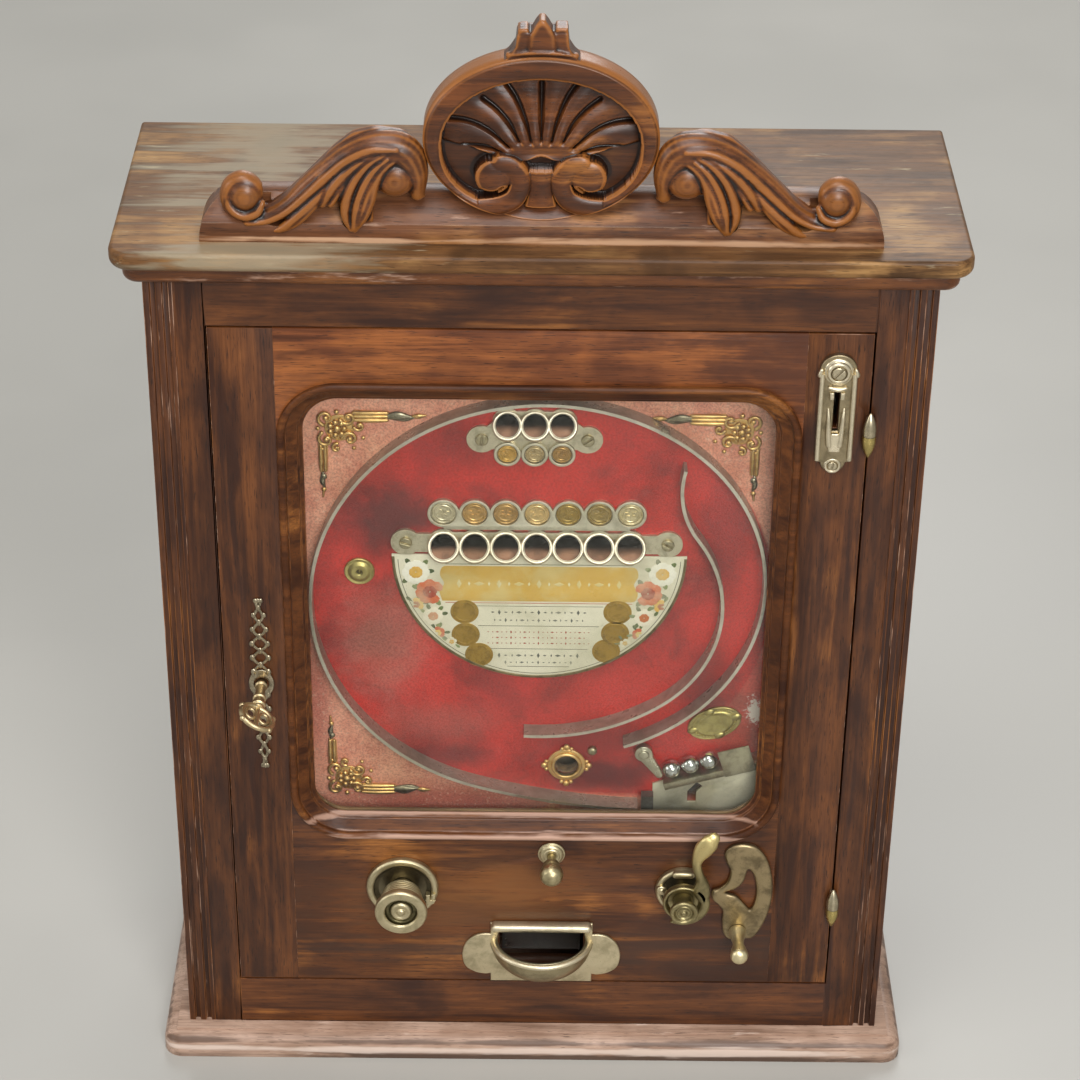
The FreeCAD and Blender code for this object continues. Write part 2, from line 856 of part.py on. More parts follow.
def make_escutcheon():
    x = lock_x
    z = lock_z
    w = escutcheon_w / 2
    y0 = -escutcheon_t
    up = escutcheon_up
    low = escutcheon_down
    right = [(x, z + up), (x + w * 0.62, z + up * 0.72), (x + w * 0.55, z), (x + w * 0.5, z - low * 0.7)]
    left = [(2 * x - px, pz) for px, pz in reversed(right[1:])]
    spire = plate_xz(right + [(x, z - low)] + left, y0, 0)
    lobes = [ellipse_plate(x, z, w, w * 1.7, y0, 0)]
    for f in (0.42, 0.78):
        lobes.append(ellipse_plate(x, z + up * f, w * 0.82, w * 0.9, y0, 0))
        lobes.append(ellipse_plate(x, z - low * f, w * 0.7, w * 0.8, y0, 0))
    plate = fuse(spire, *lobes)
    holes = [rod_y(x, z, key_r + 2 * fit_gap + 1, y0 - 1, 1)]
    for f in (0.42, 0.62, 0.8):
        holes.append(ellipse_plate(x, z + up * f, w * 0.26, w * 0.5, y0 - 1, 1))
        holes.append(ellipse_plate(x, z - low * f, w * 0.22, w * 0.45, y0 - 1, 1))
    return plate.cut(holes)


def make_keeper():
    x1 = -open_x - fit_gap
    x0 = x1 - keeper_w
    w = keeper_wall
    y1 = bolt_y + bolt_d + fit_gap
    block = box(x0, x1, frame_t, y1 + w, bolt_z - fit_gap - w, bolt_z + bolt_h + fit_gap + w)
    return block.cut(box(x0 + w, x1 + 1, bolt_y - fit_gap, y1, bolt_z - fit_gap, bolt_z + bolt_h + fit_gap))


# Playfield

def coin_slot(y0, y1):
    half = coin_slot_w / 2
    return box(coin_x - half, coin_x + half, y0, y1, coin_z - coin_slot_h / 2, coin_z + coin_slot_h / 2)


def coin_notch():
    half = coin_slot_w / 2 + chute_wall + fit_gap
    tall = coin_slot_h / 2 + chute_wall + fit_gap
    return box(coin_x - half, coin_x + half, field_y - 1, board_y + field_t + 1, coin_z - tall, coin_z + tall)


def field_holes():
    y0 = field_y - 1
    y1 = board_y + field_t + 1
    gate_bore = rod_y(gate_x, gate_z, gate_pin_r + run_fit, y0, y1)
    return board_cup_holes(y0, y1) + [rod_y(ring_x, ring_z, ring_bore_r, y0, y1), gate_bore, coin_notch()]


def make_battens():
    y0 = board_y + field_t
    batten = box(inner_x - batten_w, inner_x, y0, y0 + batten_d, field_low - 40, field_top)
    return group(mirrored(batten), batten)


def make_field_board():
    board = box(-field_x, field_x, board_y, board_y + field_t, field_low, field_top)
    return board.cut(field_holes())


def make_facing():
    sheet = box(-field_x, field_x, field_y, board_y, field_low, field_top)
    return sheet.cut(field_holes())


def make_outer_track():
    turns = [(outer_low_r, -14.4), (outer_left_r, -202.2), (outer_right_r, -62.8), (outer_end_r, -58.7)]
    return bent_strip((outer_x, outer_z), 177.7, turns, track_t, track_y, field_y)


def make_inner_track():
    turns = [(loop_low_r, 38.3), (loop_right_r, 91.4), (loop_top_r, -49.3)]
    return bent_strip((loop_x, loop_z), -4.0, turns, track_t, track_y, field_y)


def cup_casting(x_mid, z_mid, count, pitch, bore_r, base_low, ears, ear_z):
    """Row of leaning cups on one base plate with two screw ears."""
    r = bore_r + cup_wall
    rods = leaning_rods(x_mid, z_mid, count, pitch, r, 0)
    half = (count - 1) / 2 * pitch
    y0 = field_y - cup_plate_t
    reach = half + 2 * r
    front = box(x_mid - reach, x_mid + reach, 0, y0, z_mid - 4 * r, z_mid + 4 * r)
    tubes = [rod.common(front) for rod in rods]
    base = [rod_y(x, z_mid, r, y0, field_y) for x in row_x(x_mid, count, pitch)]
    base.append(box(x_mid - half, x_mid + half, y0, field_y, z_mid - bore_r, z_mid + bore_r))
    for x in ears:
        near = x_mid - half if x < x_mid else x_mid + half
        base.append(rod_y(x, ear_z, ear_r, y0, field_y))
        low_z = ear_z - ear_r * 0.75
        web = [(x, low_z), (near, low_z), (near, z_mid + ear_r * 0.7), (x, ear_z + ear_r * 0.7)]
        base.append(plate_xz(web, y0, field_y))
    plate = fuse(base[0], *base[1:])
    plate = plate.common(box(-half_w, half_w, 0, field_y, base_low, case_h))
    whole = fuse(plate, *tubes)
    level = [rod_y(x, z_mid, bore_r, y0 - 1, field_y + 1) for x in row_x(x_mid, count, pitch)]
    return whole.cut(leaning_rods(x_mid, z_mid, count, pitch, bore_r, 2 * r) + level)


def make_cup_seven():
    ears = (seven_x - seven_ear_x, seven_x + seven_ear_x)
    return cup_casting(seven_x, seven_z, 7, seven_pitch, cup_bore_r, plaque_top + fit_gap, ears, seven_z)


def three_ears():
    return (three_x - three_ear_x, three_x + three_ear_x)


def make_cup_three():
    low = three_z - three_ear_drop - ear_r
    casting = cup_casting(three_x, three_z, 3, three_pitch, three_bore_r, low, three_ears(),
                          three_z - three_ear_drop)
    r = small_token_r + token_rim + fit_gap
    return casting.cut([rod_y(x, three_z - three_token_drop, r, 0, field_y)
                        for x in row_x(three_x, 3, three_pitch)])


def token_places():
    seven = [(x, seven_z + token_strip_rise, token_r) for x in row_x(seven_x, 7, seven_pitch)]
    three = [(x, three_z - three_token_drop, small_token_r) for x in row_x(three_x, 3, three_pitch)]
    return seven + three


def token_holder(places, z_low, z_high):
    y0 = field_y - strip_t
    xs = [p[0] for p in places]
    r = places[0][2] + token_rim
    discs = [rod_y(x, z, r, y0, field_y) for x, z, _ in places]
    bar = box(min(xs), max(xs), y0, field_y, z_low, z_high)
    strip = fuse(bar, *discs)
    strip = strip.common(box(-half_w, half_w, 0, field_y, z_low, z_high + r))
    seats = [rod_y(x, z, pr, y0 - 1, field_y - token_seat) for x, z, pr in places]
    return strip.cut(seats)


def make_token_strip():
    places = token_places()
    return token_holder(places[:7], seven_z + cup_bore_r + cup_wall + fit_gap, seven_z + token_strip_rise)


def make_small_strip():
    places = token_places()
    r = small_token_r + token_rim
    y0 = field_y - strip_t
    strip = fuse(*[rod_y(x, z, r, y0, field_y) for x, z, _ in places[7:]])
    seats = [rod_y(x, pz, pr, y0 - 1, field_y - token_seat) for x, pz, pr in places[7:]]
    return strip.cut(seats)


def make_tokens():
    y1 = field_y - token_seat
    return group(*[rod_y(x, z, r - fit_gap / 2, y1 - token_t, y1) for x, z, r in token_places()])


def make_plaque():
    drop = plaque_top - plaque_low
    r = (plaque_half_w ** 2 + drop ** 2) / (2 * drop)
    y0 = field_y - plaque_t
    disc = rod_y(plaque_x, plaque_low + r, r, y0, field_y)
    plate = disc.common(box(-half_w, half_w, y0, field_y, plaque_low - 1, plaque_top))
    rim_y = y0 - plaque_rim_t
    rim = rod_y(plaque_x, plaque_low + r, r, rim_y, y0).cut(
        rod_y(plaque_x, plaque_low + r, r - plaque_rim, rim_y - 1, y0 + 1))
    rim = rim.common(box(-half_w, half_w, rim_y, y0, plaque_low - 1, plaque_top))
    return fuse(plate, rim)


def make_corners():
    """Gilt corner mounts: a boss of leaves with one arm along each side."""
    def mount(x, z, sx, sz):
        y0 = field_y - corner_t
        r = corner_leaf_r
        leaves = [(-1, 1), (1, -1), (1, 1)]
        boss = [rod_y(x + dx * sx * r * 1.15, z + dz * sz * r, r, y0, field_y) for dx, dz in leaves]
        end_x = x + sx * corner_arm * 1.1
        end_z = z - sz * corner_arm * 0.88
        edge_x = x - sx * r * 1.3
        edge_z = z + sz * r * 1.5
        w = r / 2
        tip = r / 6
        across = [(x, edge_z - w), (end_x, edge_z - tip), (end_x, edge_z + tip), (x, edge_z + w)]
        down = [(edge_x - w, z), (edge_x - tip, end_z), (edge_x + tip, end_z), (edge_x + w, z)]
        arms = [plate_xz(arm, y0, field_y) for arm in (across, down)]
        return fuse(rod_y(x, z, corner_boss_r, y0, field_y), *(arms + boss))
    return group(mount(-corner_x, corner_top_z, 1, 1), mount(corner_x, corner_top_z, -1, 1),
                 mount(-corner_x, corner_low_z, 1, -1))


def make_fittings():
    """Pierced ring at the ball hole, turned rosette and bare oval plate."""
    y0 = field_y - ring_t
    ring = rod_y(ring_x, ring_z, ring_bore_r + 3.2, y0, field_y)
    lobes = [rod_y(ring_x + dx * (ring_r - 4), ring_z + dz * (ring_r - 4), 4, y0 + 1, field_y)
             for dx, dz in ((1, 0), (-1, 0), (0, 1), (0, -1))]
    ring = fuse(ring, *lobes).cut(rod_y(ring_x, ring_z, ring_bore_r, y0 - 1, field_y + 1))
    f = field_y
    r = rosette_r
    rosette = turned_y(rosette_x, rosette_z, [(r * 0.3, f - rosette_t), (r * 0.35, f - 1.5), (r * 0.7, f - 2),
                                              (r * 0.85, f - rosette_t), (r, f - 1), (r, f)])
    oval = ellipse_plate(oval_x, oval_z, oval_half_w, oval_half_h, f - oval_t, f, oval_tilt)
    inner = ellipse_plate(oval_x, oval_z, oval_half_w - 2.5, oval_half_h - 2.5, f - oval_t - 1,
                          f - oval_t + 0.8, oval_tilt)
    return group(ring, rosette, oval.cut(inner))


# Launcher and ball feed

def rail_line(along, below):
    """Point on the ball rail, measured along it from the first ball and square below the balls' middles."""
    a = math.radians(rail_slope)
    x = first_ball_x + along * math.cos(a) + below * math.sin(a)
    z = first_ball_z + along * math.sin(a) - below * math.cos(a)
    return x, z


def make_launcher_plate():
    rise = math.tan(math.radians(launch_slope)) * (launch_right - launch_left)
    y0 = field_y - launch_t
    corners = [(launch_left, launch_low), (launch_right, launch_low), (launch_right, launch_high + rise),
               (launch_left, launch_high)]
    plate = plate_xz(corners, y0, field_y)
    under = ball_r + fit_gap / 2 + rail_t + fit_gap
    clear = [rail_line(-40, under), rail_line(120, under), rail_line(120, -60), rail_line(-40, -60)]
    plate = plate.cut(plate_xz(clear, y0 - 1, field_y + 1))
    x = launch_slot_x
    z = launch_slot_z
    half = launch_slot_w / 2
    low = box(x - half, x + half, y0 - 1, field_y + 1, z - 3 * half, z)
    lean = [(x - half, z - 0.5), (x + half, z - 0.5), (x + 2.4 * half, z + 1.4 * half),
            (x + half, z + 2.4 * half)]
    return plate.cut(fuse(low, plate_xz(lean, y0 - 1, field_y + 1)))


def make_rail():
    top = ball_r + fit_gap / 2
    low = top + rail_t
    y0 = track_y - 0.7
    hood_y = y0 - launch_t + 0.4
    bar = plate_xz([rail_line(-rail_back, low), rail_line(rail_len, low), rail_line(rail_len, top),
                    rail_line(-rail_back, top)], y0, field_y)
    start = 2 * (2 * ball_r + ball_gap) + ball_r + 1.5
    end = sight_x - first_ball_x
    hood = plate_xz([rail_line(start, low), rail_line(end, low), rail_line(end, -top - 3),
                     rail_line(start, -top - 3)], hood_y, y0)
    stop = plate_xz([rail_line(rail_len - 3, low), rail_line(rail_len, low), rail_line(rail_len, -top),
                     rail_line(rail_len - 3, -top)], y0, field_y)
    return fuse(bar, hood, stop)


def make_gate():
    reach = ball_r + 2.5 + fit_gap
    a = math.radians(20)
    tip = (first_ball_x - reach * math.cos(a), first_ball_z - reach * math.sin(a))
    y0 = field_y - gate_t - 5
    y1 = y0 + gate_t
    boss = rod_y(gate_x, gate_z, gate_r, y0, y1)
    end = rod_y(tip[0], tip[1], 2.5, y0, y1)
    dx = tip[0] - gate_x
    dz = tip[1] - gate_z
    n = math.hypot(dx, dz)
    px, pz = -dz / n, dx / n
    arm = plate_xz([(gate_x + px * 5, gate_z + pz * 5), (gate_x - px * 5, gate_z - pz * 5),
                    (tip[0] - px * 2.4, tip[1] - pz * 2.4), (tip[0] + px * 2.4, tip[1] + pz * 2.4)], y0, y1)
    pin = rod_y(gate_x, gate_z, gate_pin_r, y1, board_y + field_t + 4)
    tail = plate_xz([(gate_x - 3, gate_z + 3), (gate_x - 3, gate_z - 3), (gate_x - 30, gate_z - 9),
                     (gate_x - 30, gate_z - 4)], board_y + field_t + fit_gap, board_y + field_t + 3)
    head = rod_y(gate_x, gate_z, gate_r * 0.55, y0 - 1.5, y0)
    return fuse(boss, arm, end, pin, tail, head)


def make_balls():
    y = field_y - ball_r - fit_gap / 2
    balls = []
    for i in range(ball_count):
        x, z = drop_ball(i)
        balls.append(Part.makeSphere(ball_r, V(x, y, z)))
    return group(*balls)


# Lever and finger plate

def cup_flange(x, z, r, bore_r, rim):
    flange = turned_y(x, z, [(r - 1.2, -flange_proud), (r, -flange_proud + 1.5), (r, 0)])
    flange = flange.cut(turned_y(x, z, [(r - rim, -flange_proud - 1), (r - rim - 2.5, -1.5)]))
    return flange.cut(rod_y(x, z, bore_r + run_fit, -flange_proud - 1, 1))


def make_flanges():
    left = cup_flange(knob_x, knob_z, cup_flange_r, shaft_r, 4.5)
    tab_x = knob_x + cup_flange_r - 8
    tab = box(tab_x, tab_x + 6, -flange_proud - 2, -1, knob_z - 8, knob_z - 3)
    right = cup_flange(lever_x, lever_z, flange_r, shaft_r, flange_rim)
    lug = box(lever_x - 7, lever_x + 7, -flange_proud - 3.5, -flange_proud + 2,
              lever_z + flange_r - 4.5, lever_z + flange_r)
    middle = turned_y(push_x, push_z, [(push_flange_r * 0.55, -4), (push_flange_r * 0.8, -2.6),
                                       (push_flange_r, -1), (push_flange_r, 0)])
    middle = middle.cut(rod_y(push_x, push_z, push_r + run_fit, -9, 1))
    return group(fuse(left, tab), fuse(right, lug).cut(flange_screw()), middle)


def make_lever():
    x = lever_x
    z = lever_z
    y0 = lever_y
    cup = turned_y(x, z, [(lever_cup_r - 1, y0), (lever_cup_r, y0 + 1), (lever_cup_r, y0 + 5),
                          (lever_cup_r - 4, y0 + lever_t + 2)])
    cup = cup.cut(turned_y(x, z, [(lever_cup_r - 3, y0 - 1), (lever_cup_r - 5, y0 + lever_cup_depth)]))
    outline = [
        (6, 9), (8, 19), (6, 27), (5.5, 38), (8.5, 48.5), (12, 55), (16.5, 57), (20.3, 52.5), (18, 45.5),
        (13, 39.5), (11, 33.5), (13, 24), (17, 15), (17.6, 6), (14, -1)]
    k = thumb_dz / 55
    arm = curved_plate([(x + dx * k, z + dz * k) for dx, dz in outline], y0, y0 + lever_t)
    arm = arm.cut(rod_y(x, z, lever_cup_r - 5, y0 - 1, y0 + lever_cup_depth))
    thumb = Part.makeSphere(thumb_r, V(x + thumb_dx - 2.5, y0 + 1.5, z + thumb_dz - 4.5))
    r = hub_r
    hub = turned_y(x, z, [(r * 0.35, hub_y), (r * 0.4, hub_y + 1.2), (r * 0.6, hub_y + 1.2), (r * 0.7, hub_y),
                          (r, hub_y + 1), (r, hub_y + 4), (r * 0.75, hub_y + 5), (r * 0.75, y0 + lever_t)])
    shaft = rod_y(x, z, shaft_r, y0, hammer_y + hammer_t + 0.5)
    return fuse(cup, arm, thumb, hub, shaft)


def make_hammer():
    x = lever_x
    z = lever_z
    y0 = hammer_y
    y1 = hammer_y + hammer_t
    boss = rod_y(x, z, shaft_r + 4, y0, y1)
    left = hammer_dx - hammer_head / 2
    head = box(x + left, x + left + hammer_head, y0, y1, z + hammer_dz - 8, z + hammer_dz + 6)
    arm = plate_xz([(x - 8, z), (x, z - 8), (x + 6, z + 3), (x + left + 12, z + 26),
                    (x + left + hammer_head - 1, z + hammer_dz - 7), (x + left + 1, z + hammer_dz - 7),
                    (x + left + 3, z + 30)], y0, y1)
    return fuse(boss, head, arm).cut(rod_y(x, z, shaft_r, y0 - 1, y1 + 1))


def make_spring():
    r = shaft_r + 2 * spring_wire_r + fit_gap
    y = door_t + spring_wire_r + fit_gap
    coil = Part.makeTorus(r, spring_wire_r, V(lever_x, y, lever_z), V(0, 1, 0))
    lean = V(0.25, 0, -1).normalize()
    start = V(lever_x + r, y, lever_z)
    end = start + lean * spring_leg
    leg = Part.makeCylinder(spring_wire_r, spring_leg, start, lean)
    foot = rod_y(end.x, end.z, spring_wire_r * 1.4, door_t, y + 2)
    return fuse(coil, leg, foot)


def make_finger_plate():
    y0 = -plate_proud
    outline = [
        (-11, 66), (-6, 72), (3, 73.6), (11.5, 70), (18.5, 59), (22.5, 40), (21.5, 20), (17, 4), (11.5, -6),
        (5.5, -7.5), (-3.5, -8.5), (-9, -4), (-10.7, 7), (-10.5, 16), (-14, 22), (-18, 26.5), (-18.5, 33.5),
        (-13.5, 36), (-8.5, 42), (-7, 51), (-10, 59)]
    hole = [(-9.5, 32.5), (-2.5, 36), (2.5, 42), (5.5, 52.5), (9.7, 46), (11.5, 34), (10.7, 24), (8, 18),
            (4.5, 22), (-1.5, 29)]
    k = drawn([(z, x) for x, z in outline], plate_h)
    plate = curved_plate([(peg_x + dx * k, peg_z + dz * k) for dx, dz in outline], y0, 0)
    return plate.cut(curved_plate([(peg_x + dx * k, peg_z + dz * k) for dx, dz in hole], y0 - 1, 1))


def make_peg():
    y = -plate_proud
    tip = y - peg_len
    r = peg_r
    n = peg_neck_r
    return turned_y(peg_x, peg_z, [
        (r * 0.5, tip), (r * 0.87, tip + 1.5), (r * 1.03, tip + 4), (r, tip + 8), (r * 0.8, tip + 12),
        (n, tip + 17), (n * 1.1, tip + 21), (r * 0.9, y - 4), (r, y - 2.5), (r, y)])


# Payout knob, coin slide and tray

def make_knob():
    x = knob_x
    z = knob_z
    r = knob_r
    y = knob_y
    knob = turned_y(x, z, [
        (r * 0.2, y), (r * 0.2, y + 0.8), (r * 0.4, y + 1.5), (r * 0.42, y + 3), (r * 0.6, y + 3),
        (r * 0.64, y), (r * 0.95, y), (r, y + 1.2), (r, y + knob_rim_t - 1), (r * 0.95, y + knob_rim_t),
        (r * 0.72, y + knob_rim_t + 1), (r * 0.7, y + 12), (r * 0.58, y + 13), (r * 0.5, y + 18),
        (r * 0.42, y + 22), (r * 0.42, -2)])
    return fuse(knob, rod_y(x, z, shaft_r, -4, crank_y + crank_t))


def crank_pin():
    a = math.radians(45)
    return knob_x + crank_r * math.sin(a), knob_z - crank_r * math.cos(a)


def make_crank():
    px, pz = crank_pin()
    boss = rod_y(knob_x, knob_z, shaft_r + 4, crank_y - 1.5, crank_y + crank_t)
    s = math.sqrt(0.5) * 5
    y0 = crank_y - 1.5
    y1 = y0 + crank_arm_t
    sides = [(knob_x + s, knob_z + s), (knob_x - s, knob_z - s), (px - s, pz - s), (px + s, pz + s)]
    arm = plate_xz(sides, y0, y1)
    end = rod_y(px, pz, 5, y0, y1)
    pin = rod_y(px, pz, crank_pin_r, crank_y + crank_t - 2, crank_y + crank_t + crank_pin_len)
    shaft = rod_y(knob_x, knob_z, shaft_r, crank_y - 2, crank_y + crank_t + 1)
    return fuse(boss, arm, end, pin).cut(shaft)


board_back = board_y + field_t
trough_d = 2 * ball_r + trough_room + trough_t
coin_way_r = coin_r + coin_gap
tube_y = board_back + trough_d + fit_gap + tube_wall + coin_way_r
fork_y = crank_y + crank_t + 1
slide_z = crank_pin()[1] - crank_pin_r - crank_drop
slide_half = coin_way_r + slide_margin
mouth_half = tray_r - 6
chute_half = mouth_half - 2
bed_x1 = max(tube_x + slide_half, tray_x + chute_half) + fit_gap + bed_t


def make_coin_slide():
    px = crank_pin()[0]
    x0 = px - fork_half
    x1 = tube_x + slide_half
    y1 = tube_y + slide_half
    z1 = slide_z + coin_t
    plate = box(x0, x1, tube_y - slide_half, y1, slide_z, z1)
    tongue = box(x0, px + fork_half, fork_y, tube_y, slide_z, z1)
    block = box(x0, px + fork_half, fork_y, fork_y + fork_t, slide_z, slide_z + fork_h)
    slide = fuse(plate, tongue, block)
    slot = crank_pin_r + fork_play
    mouth_z = slide_z + fork_base
    mouth_top = slide_z + fork_h + 1
    slide = slide.cut(box(px - slot, px + slot, fork_y - 1, fork_y + fork_t + 1, mouth_z, mouth_top))
    return slide.cut(rod_z(tube_x, tube_y, coin_way_r, slide_z - 1, z1 + 1))


def make_bed():
    px = crank_pin()[0]
    x0 = px - fork_half - slide_travel - 4
    x1 = bed_x1
    y0 = tube_y - slide_half - 3
    y1 = tube_y + slide_half + 3
    top = slide_z - bed_gap
    plate = box(x0, x1, y0, y1, top - bed_t, top)
    guide_h = bed_gap + coin_t + fit_gap
    guides = [box(px + fork_half + fit_gap, x1, y0, y0 + 3 - fit_gap, top, top + guide_h),
              box(x0, x1, y1 - 3 + fit_gap, y1, top, top + guide_h)]
    legs = [box(x0, x0 + bed_t, y0, y1, 0, top - bed_t), box(x1 - bed_t, x1, y0, y1, 0, top - bed_t)]
    bed = fuse(plate, *(guides + legs))
    drop_x = tube_x - slide_travel
    return bed.cut(rod_z(drop_x, tube_y, coin_way_r, top - bed_t - 1, top + 1))


def make_tube():
    z0 = slide_z + coin_t + fit_gap
    outer = coin_way_r + tube_wall
    tube = rod_z(tube_x, tube_y, outer, z0, tube_top)
    foot = box(tube_x - outer, bed_x1, tube_y - slide_half - 3, tube_y + slide_half + 3, z0, z0 + 2.5)
    return fuse(tube, foot).cut(rod_z(tube_x, tube_y, coin_way_r, z0 - 1, tube_top + 1))


def tray_mouth(y0, y1):
    return box(tray_x - mouth_half, tray_x + mouth_half, y0, y1, tray_low + 8, tray_lip_z - 3)


def make_delivery_chute():
    x0 = tray_x - chute_half
    x1 = tray_x + chute_half
    top = slide_z - bed_gap - bed_t
    back = tube_y + coin_way_r + 2
    front = door_t + 1.5
    low = tray_low + 11
    t = chute_wall
    floor = bar_yz([(front, low), (back, top - 8), (back, top - 8 + t), (front, low + t)], x0, x1)
    cheek = [(front, low), (back, top - 8), (back, top), (back - 8, top), (front, low + 14)]
    side = bar_yz(cheek, x0, x0 + t)
    other = side.copy()
    other.translate(V(x1 - x0 - t, 0, 0))
    end = box(x0, x1, back - t, back, top - 8, top)
    return fuse(floor, side, other, end)


def make_tray():
    t = tray_plate_t
    mid = tray_low + 20
    wing = 20.0
    plate = fuse(rod_y(tray_x - tray_wing_x + wing, mid + 1, wing, -t, 0),
                 rod_y(tray_x + tray_wing_x - wing, mid + 1, wing, -t, 0),
                 box(tray_x - tray_r, tray_x + tray_r, -t, 0, tray_low, tray_lip_z))
    lip = box(tray_x - tray_r, tray_x + tray_r, -tray_lip_y, 0, tray_lip_z - 3, tray_lip_z)
    bowl = Part.makeSphere(tray_r, V(tray_x, 0, tray_top))
    keep = box(tray_x - tray_r, tray_x + tray_r, -tray_r, 0, tray_top - tray_r, tray_top)
    inside = Part.makeSphere(tray_r - tray_wall, V(tray_x, 0, tray_top))
    rim = rod_z(tray_x, 0, tray_r, tray_top - 3.5, tray_top)
    rim = rim.cut(rod_z(tray_x, 0, tray_r - 4, 0, tray_top + 1))
    rim = rim.common(keep)
    whole = fuse(plate, lip, bowl.common(keep), rim)
    return whole.cut([inside.common(box(tray_x - tray_r, tray_x + tray_r, -tray_r, 0, 0, tray_top + 3)),
                      tray_mouth(-t - 1, 1)])


def make_push():
    ball = Part.makeSphere(push_ball_r, V(push_x, -push_out, push_z))
    stem = rod_y(push_x, push_z, push_r, -push_out, door_t + 3)
    collar = rod_y(push_x, push_z, push_r + 1.6, -push_out + 5, -push_travel - 4 - fit_gap)
    return fuse(ball, stem, collar)


# Coin entry

def coin_plate_ends():
    """Heights of the middles of the plate's round head and tongue."""
    return coin_z + coin_plate_h / 2 - coin_head_drop, coin_z - coin_plate_h / 2 - 2


def make_coin_plate():
    w = coin_plate_w / 2
    t = coin_plate_t
    z = coin_z
    top, low = coin_plate_ends()
    body = box(coin_x - w, coin_x + w, -t, 0, low, top)
    boss = rod_y(coin_x, top, w, -t, 0)
    button = turned_y(coin_x, top, [(coin_boss_r - 1, -t - 3), (coin_boss_r, -t - 2), (coin_boss_r, -t)])
    tongue = rod_y(coin_x, low, coin_tongue_r, -t + 1, 0)
    rails = [box(coin_x + sx * w - (2.6 if sx > 0 else 0), coin_x + sx * w + (0 if sx > 0 else 2.6),
                 -t - 2.4, -t, low + 4, top - 4) for sx in (-1, 1)]
    lips = [box(coin_x + sx * 3 - (0 if sx > 0 else 2.2), coin_x + sx * 3 + (2.2 if sx > 0 else 0),
                -t - 3, -t, z - coin_slot_h / 2, z + coin_slot_h / 2 - 8) for sx in (-1, 1)]
    sill = box(coin_x - 5, coin_x + 5, -t - 3, -t, z - coin_slot_h / 2 - 8, z - coin_slot_h / 2 - 0.5)
    plate = fuse(body, boss, button, tongue, sill, *(rails + lips))
    return plate.cut(coin_slot(-t - 9, 1))


def make_coin_chute():
    w = chute_wall
    half = coin_slot_w / 2
    tall = coin_slot_h / 2
    y0 = door_t + 2
    chute_y = tube_y - coin_way_r - w
    throat = box(coin_x - half - w, coin_x + half + w, y0, chute_y + w, coin_z - tall - w, coin_z + tall + w)
    edge = half + w + chute_flange
    low = coin_z - tall - w
    flange = box(coin_x - edge, coin_x + edge, board_back, board_back + w, low, coin_z + tall + w)
    bore = box(coin_x - half, coin_x + half, y0 - 1, chute_y + w + 1, coin_z - tall, coin_z + tall)
    inner = 2 * coin_way_r
    x0 = tube_x + coin_way_r + tube_wall
    x1 = coin_x + chute_end
    z0 = tube_top + fit_gap
    z1 = coin_z - tall - w - 2
    floor = plate_xz([(x0, z0), (x1, z1), (x1, z1 + w), (x0, z0 + w)], chute_y, chute_y + inner + 2 * w)
    wall = plate_xz([(x0, z0), (x1, z1), (x1, coin_z + tall + w), (coin_x - chute_end, coin_z + tall + w),
                     (x0, z0 + 16)], chute_y, chute_y + w)
    back = wall.copy()
    back.translate(V(0, inner + w, 0))
    end = box(x1 - w, x1, chute_y, chute_y + inner + 2 * w, z1, coin_z + tall + w)
    return fuse(floor, wall, back, end, throat, flange).cut(bore)


def make_cash_box():
    outer = box(cash_x0, cash_x0 + cash_w, cash_y, cash_y + cash_d, 0, cash_h)
    t = cash_wall
    inner = box(cash_x0 + t, cash_x0 + cash_w - t, cash_y + t, cash_y + cash_d - t, t, cash_h + 1)
    return outer.cut(inner)


def make_return_trough():
    """Sloping wooden trough behind the board that brings the balls back to the rail."""
    y1 = board_back + trough_d
    drop = math.tan(math.radians(trough_slope)) * (trough_x1 - trough_x0)
    z0 = ring_z - ring_bore_r - 2 * trough_t

    def run(low, high, y_front):
        return plate_xz([(trough_x0, z0 + low), (trough_x1, z0 - drop + low),
                         (trough_x1, z0 - drop + high), (trough_x0, z0 + high)], y_front, y1)
    return fuse(run(0, trough_t, board_back), run(trough_t, trough_t + 2 * ball_r, y1 - trough_t))


# Screws

def flange_screw():
    return screw_head(lever_x - flange_r + 6.5, lever_z - 3, 2.6, -1.5)


def make_door_screws():
    top, low = coin_plate_ends()
    return group(screw_head(coin_x, top, 4.7, -coin_plate_t - 3),
                 screw_head(coin_x, low - 4.2, 3.2, -coin_plate_t + 1), flange_screw())


def make_field_screws():
    y = field_y - cup_plate_t
    heads = [screw_head(x, three_z - three_ear_drop, 4.2, y) for x in three_ears()]
    heads += [screw_head(seven_x + sx * seven_ear_x, seven_z, 4.2, y) for sx in (-1, 1)]
    heads.append(turned_y(pin_x, pin_z, [(pin_r / 2, field_y - 4), (pin_r, field_y - 2.5), (pin_r, field_y)]))
    return group(*heads)


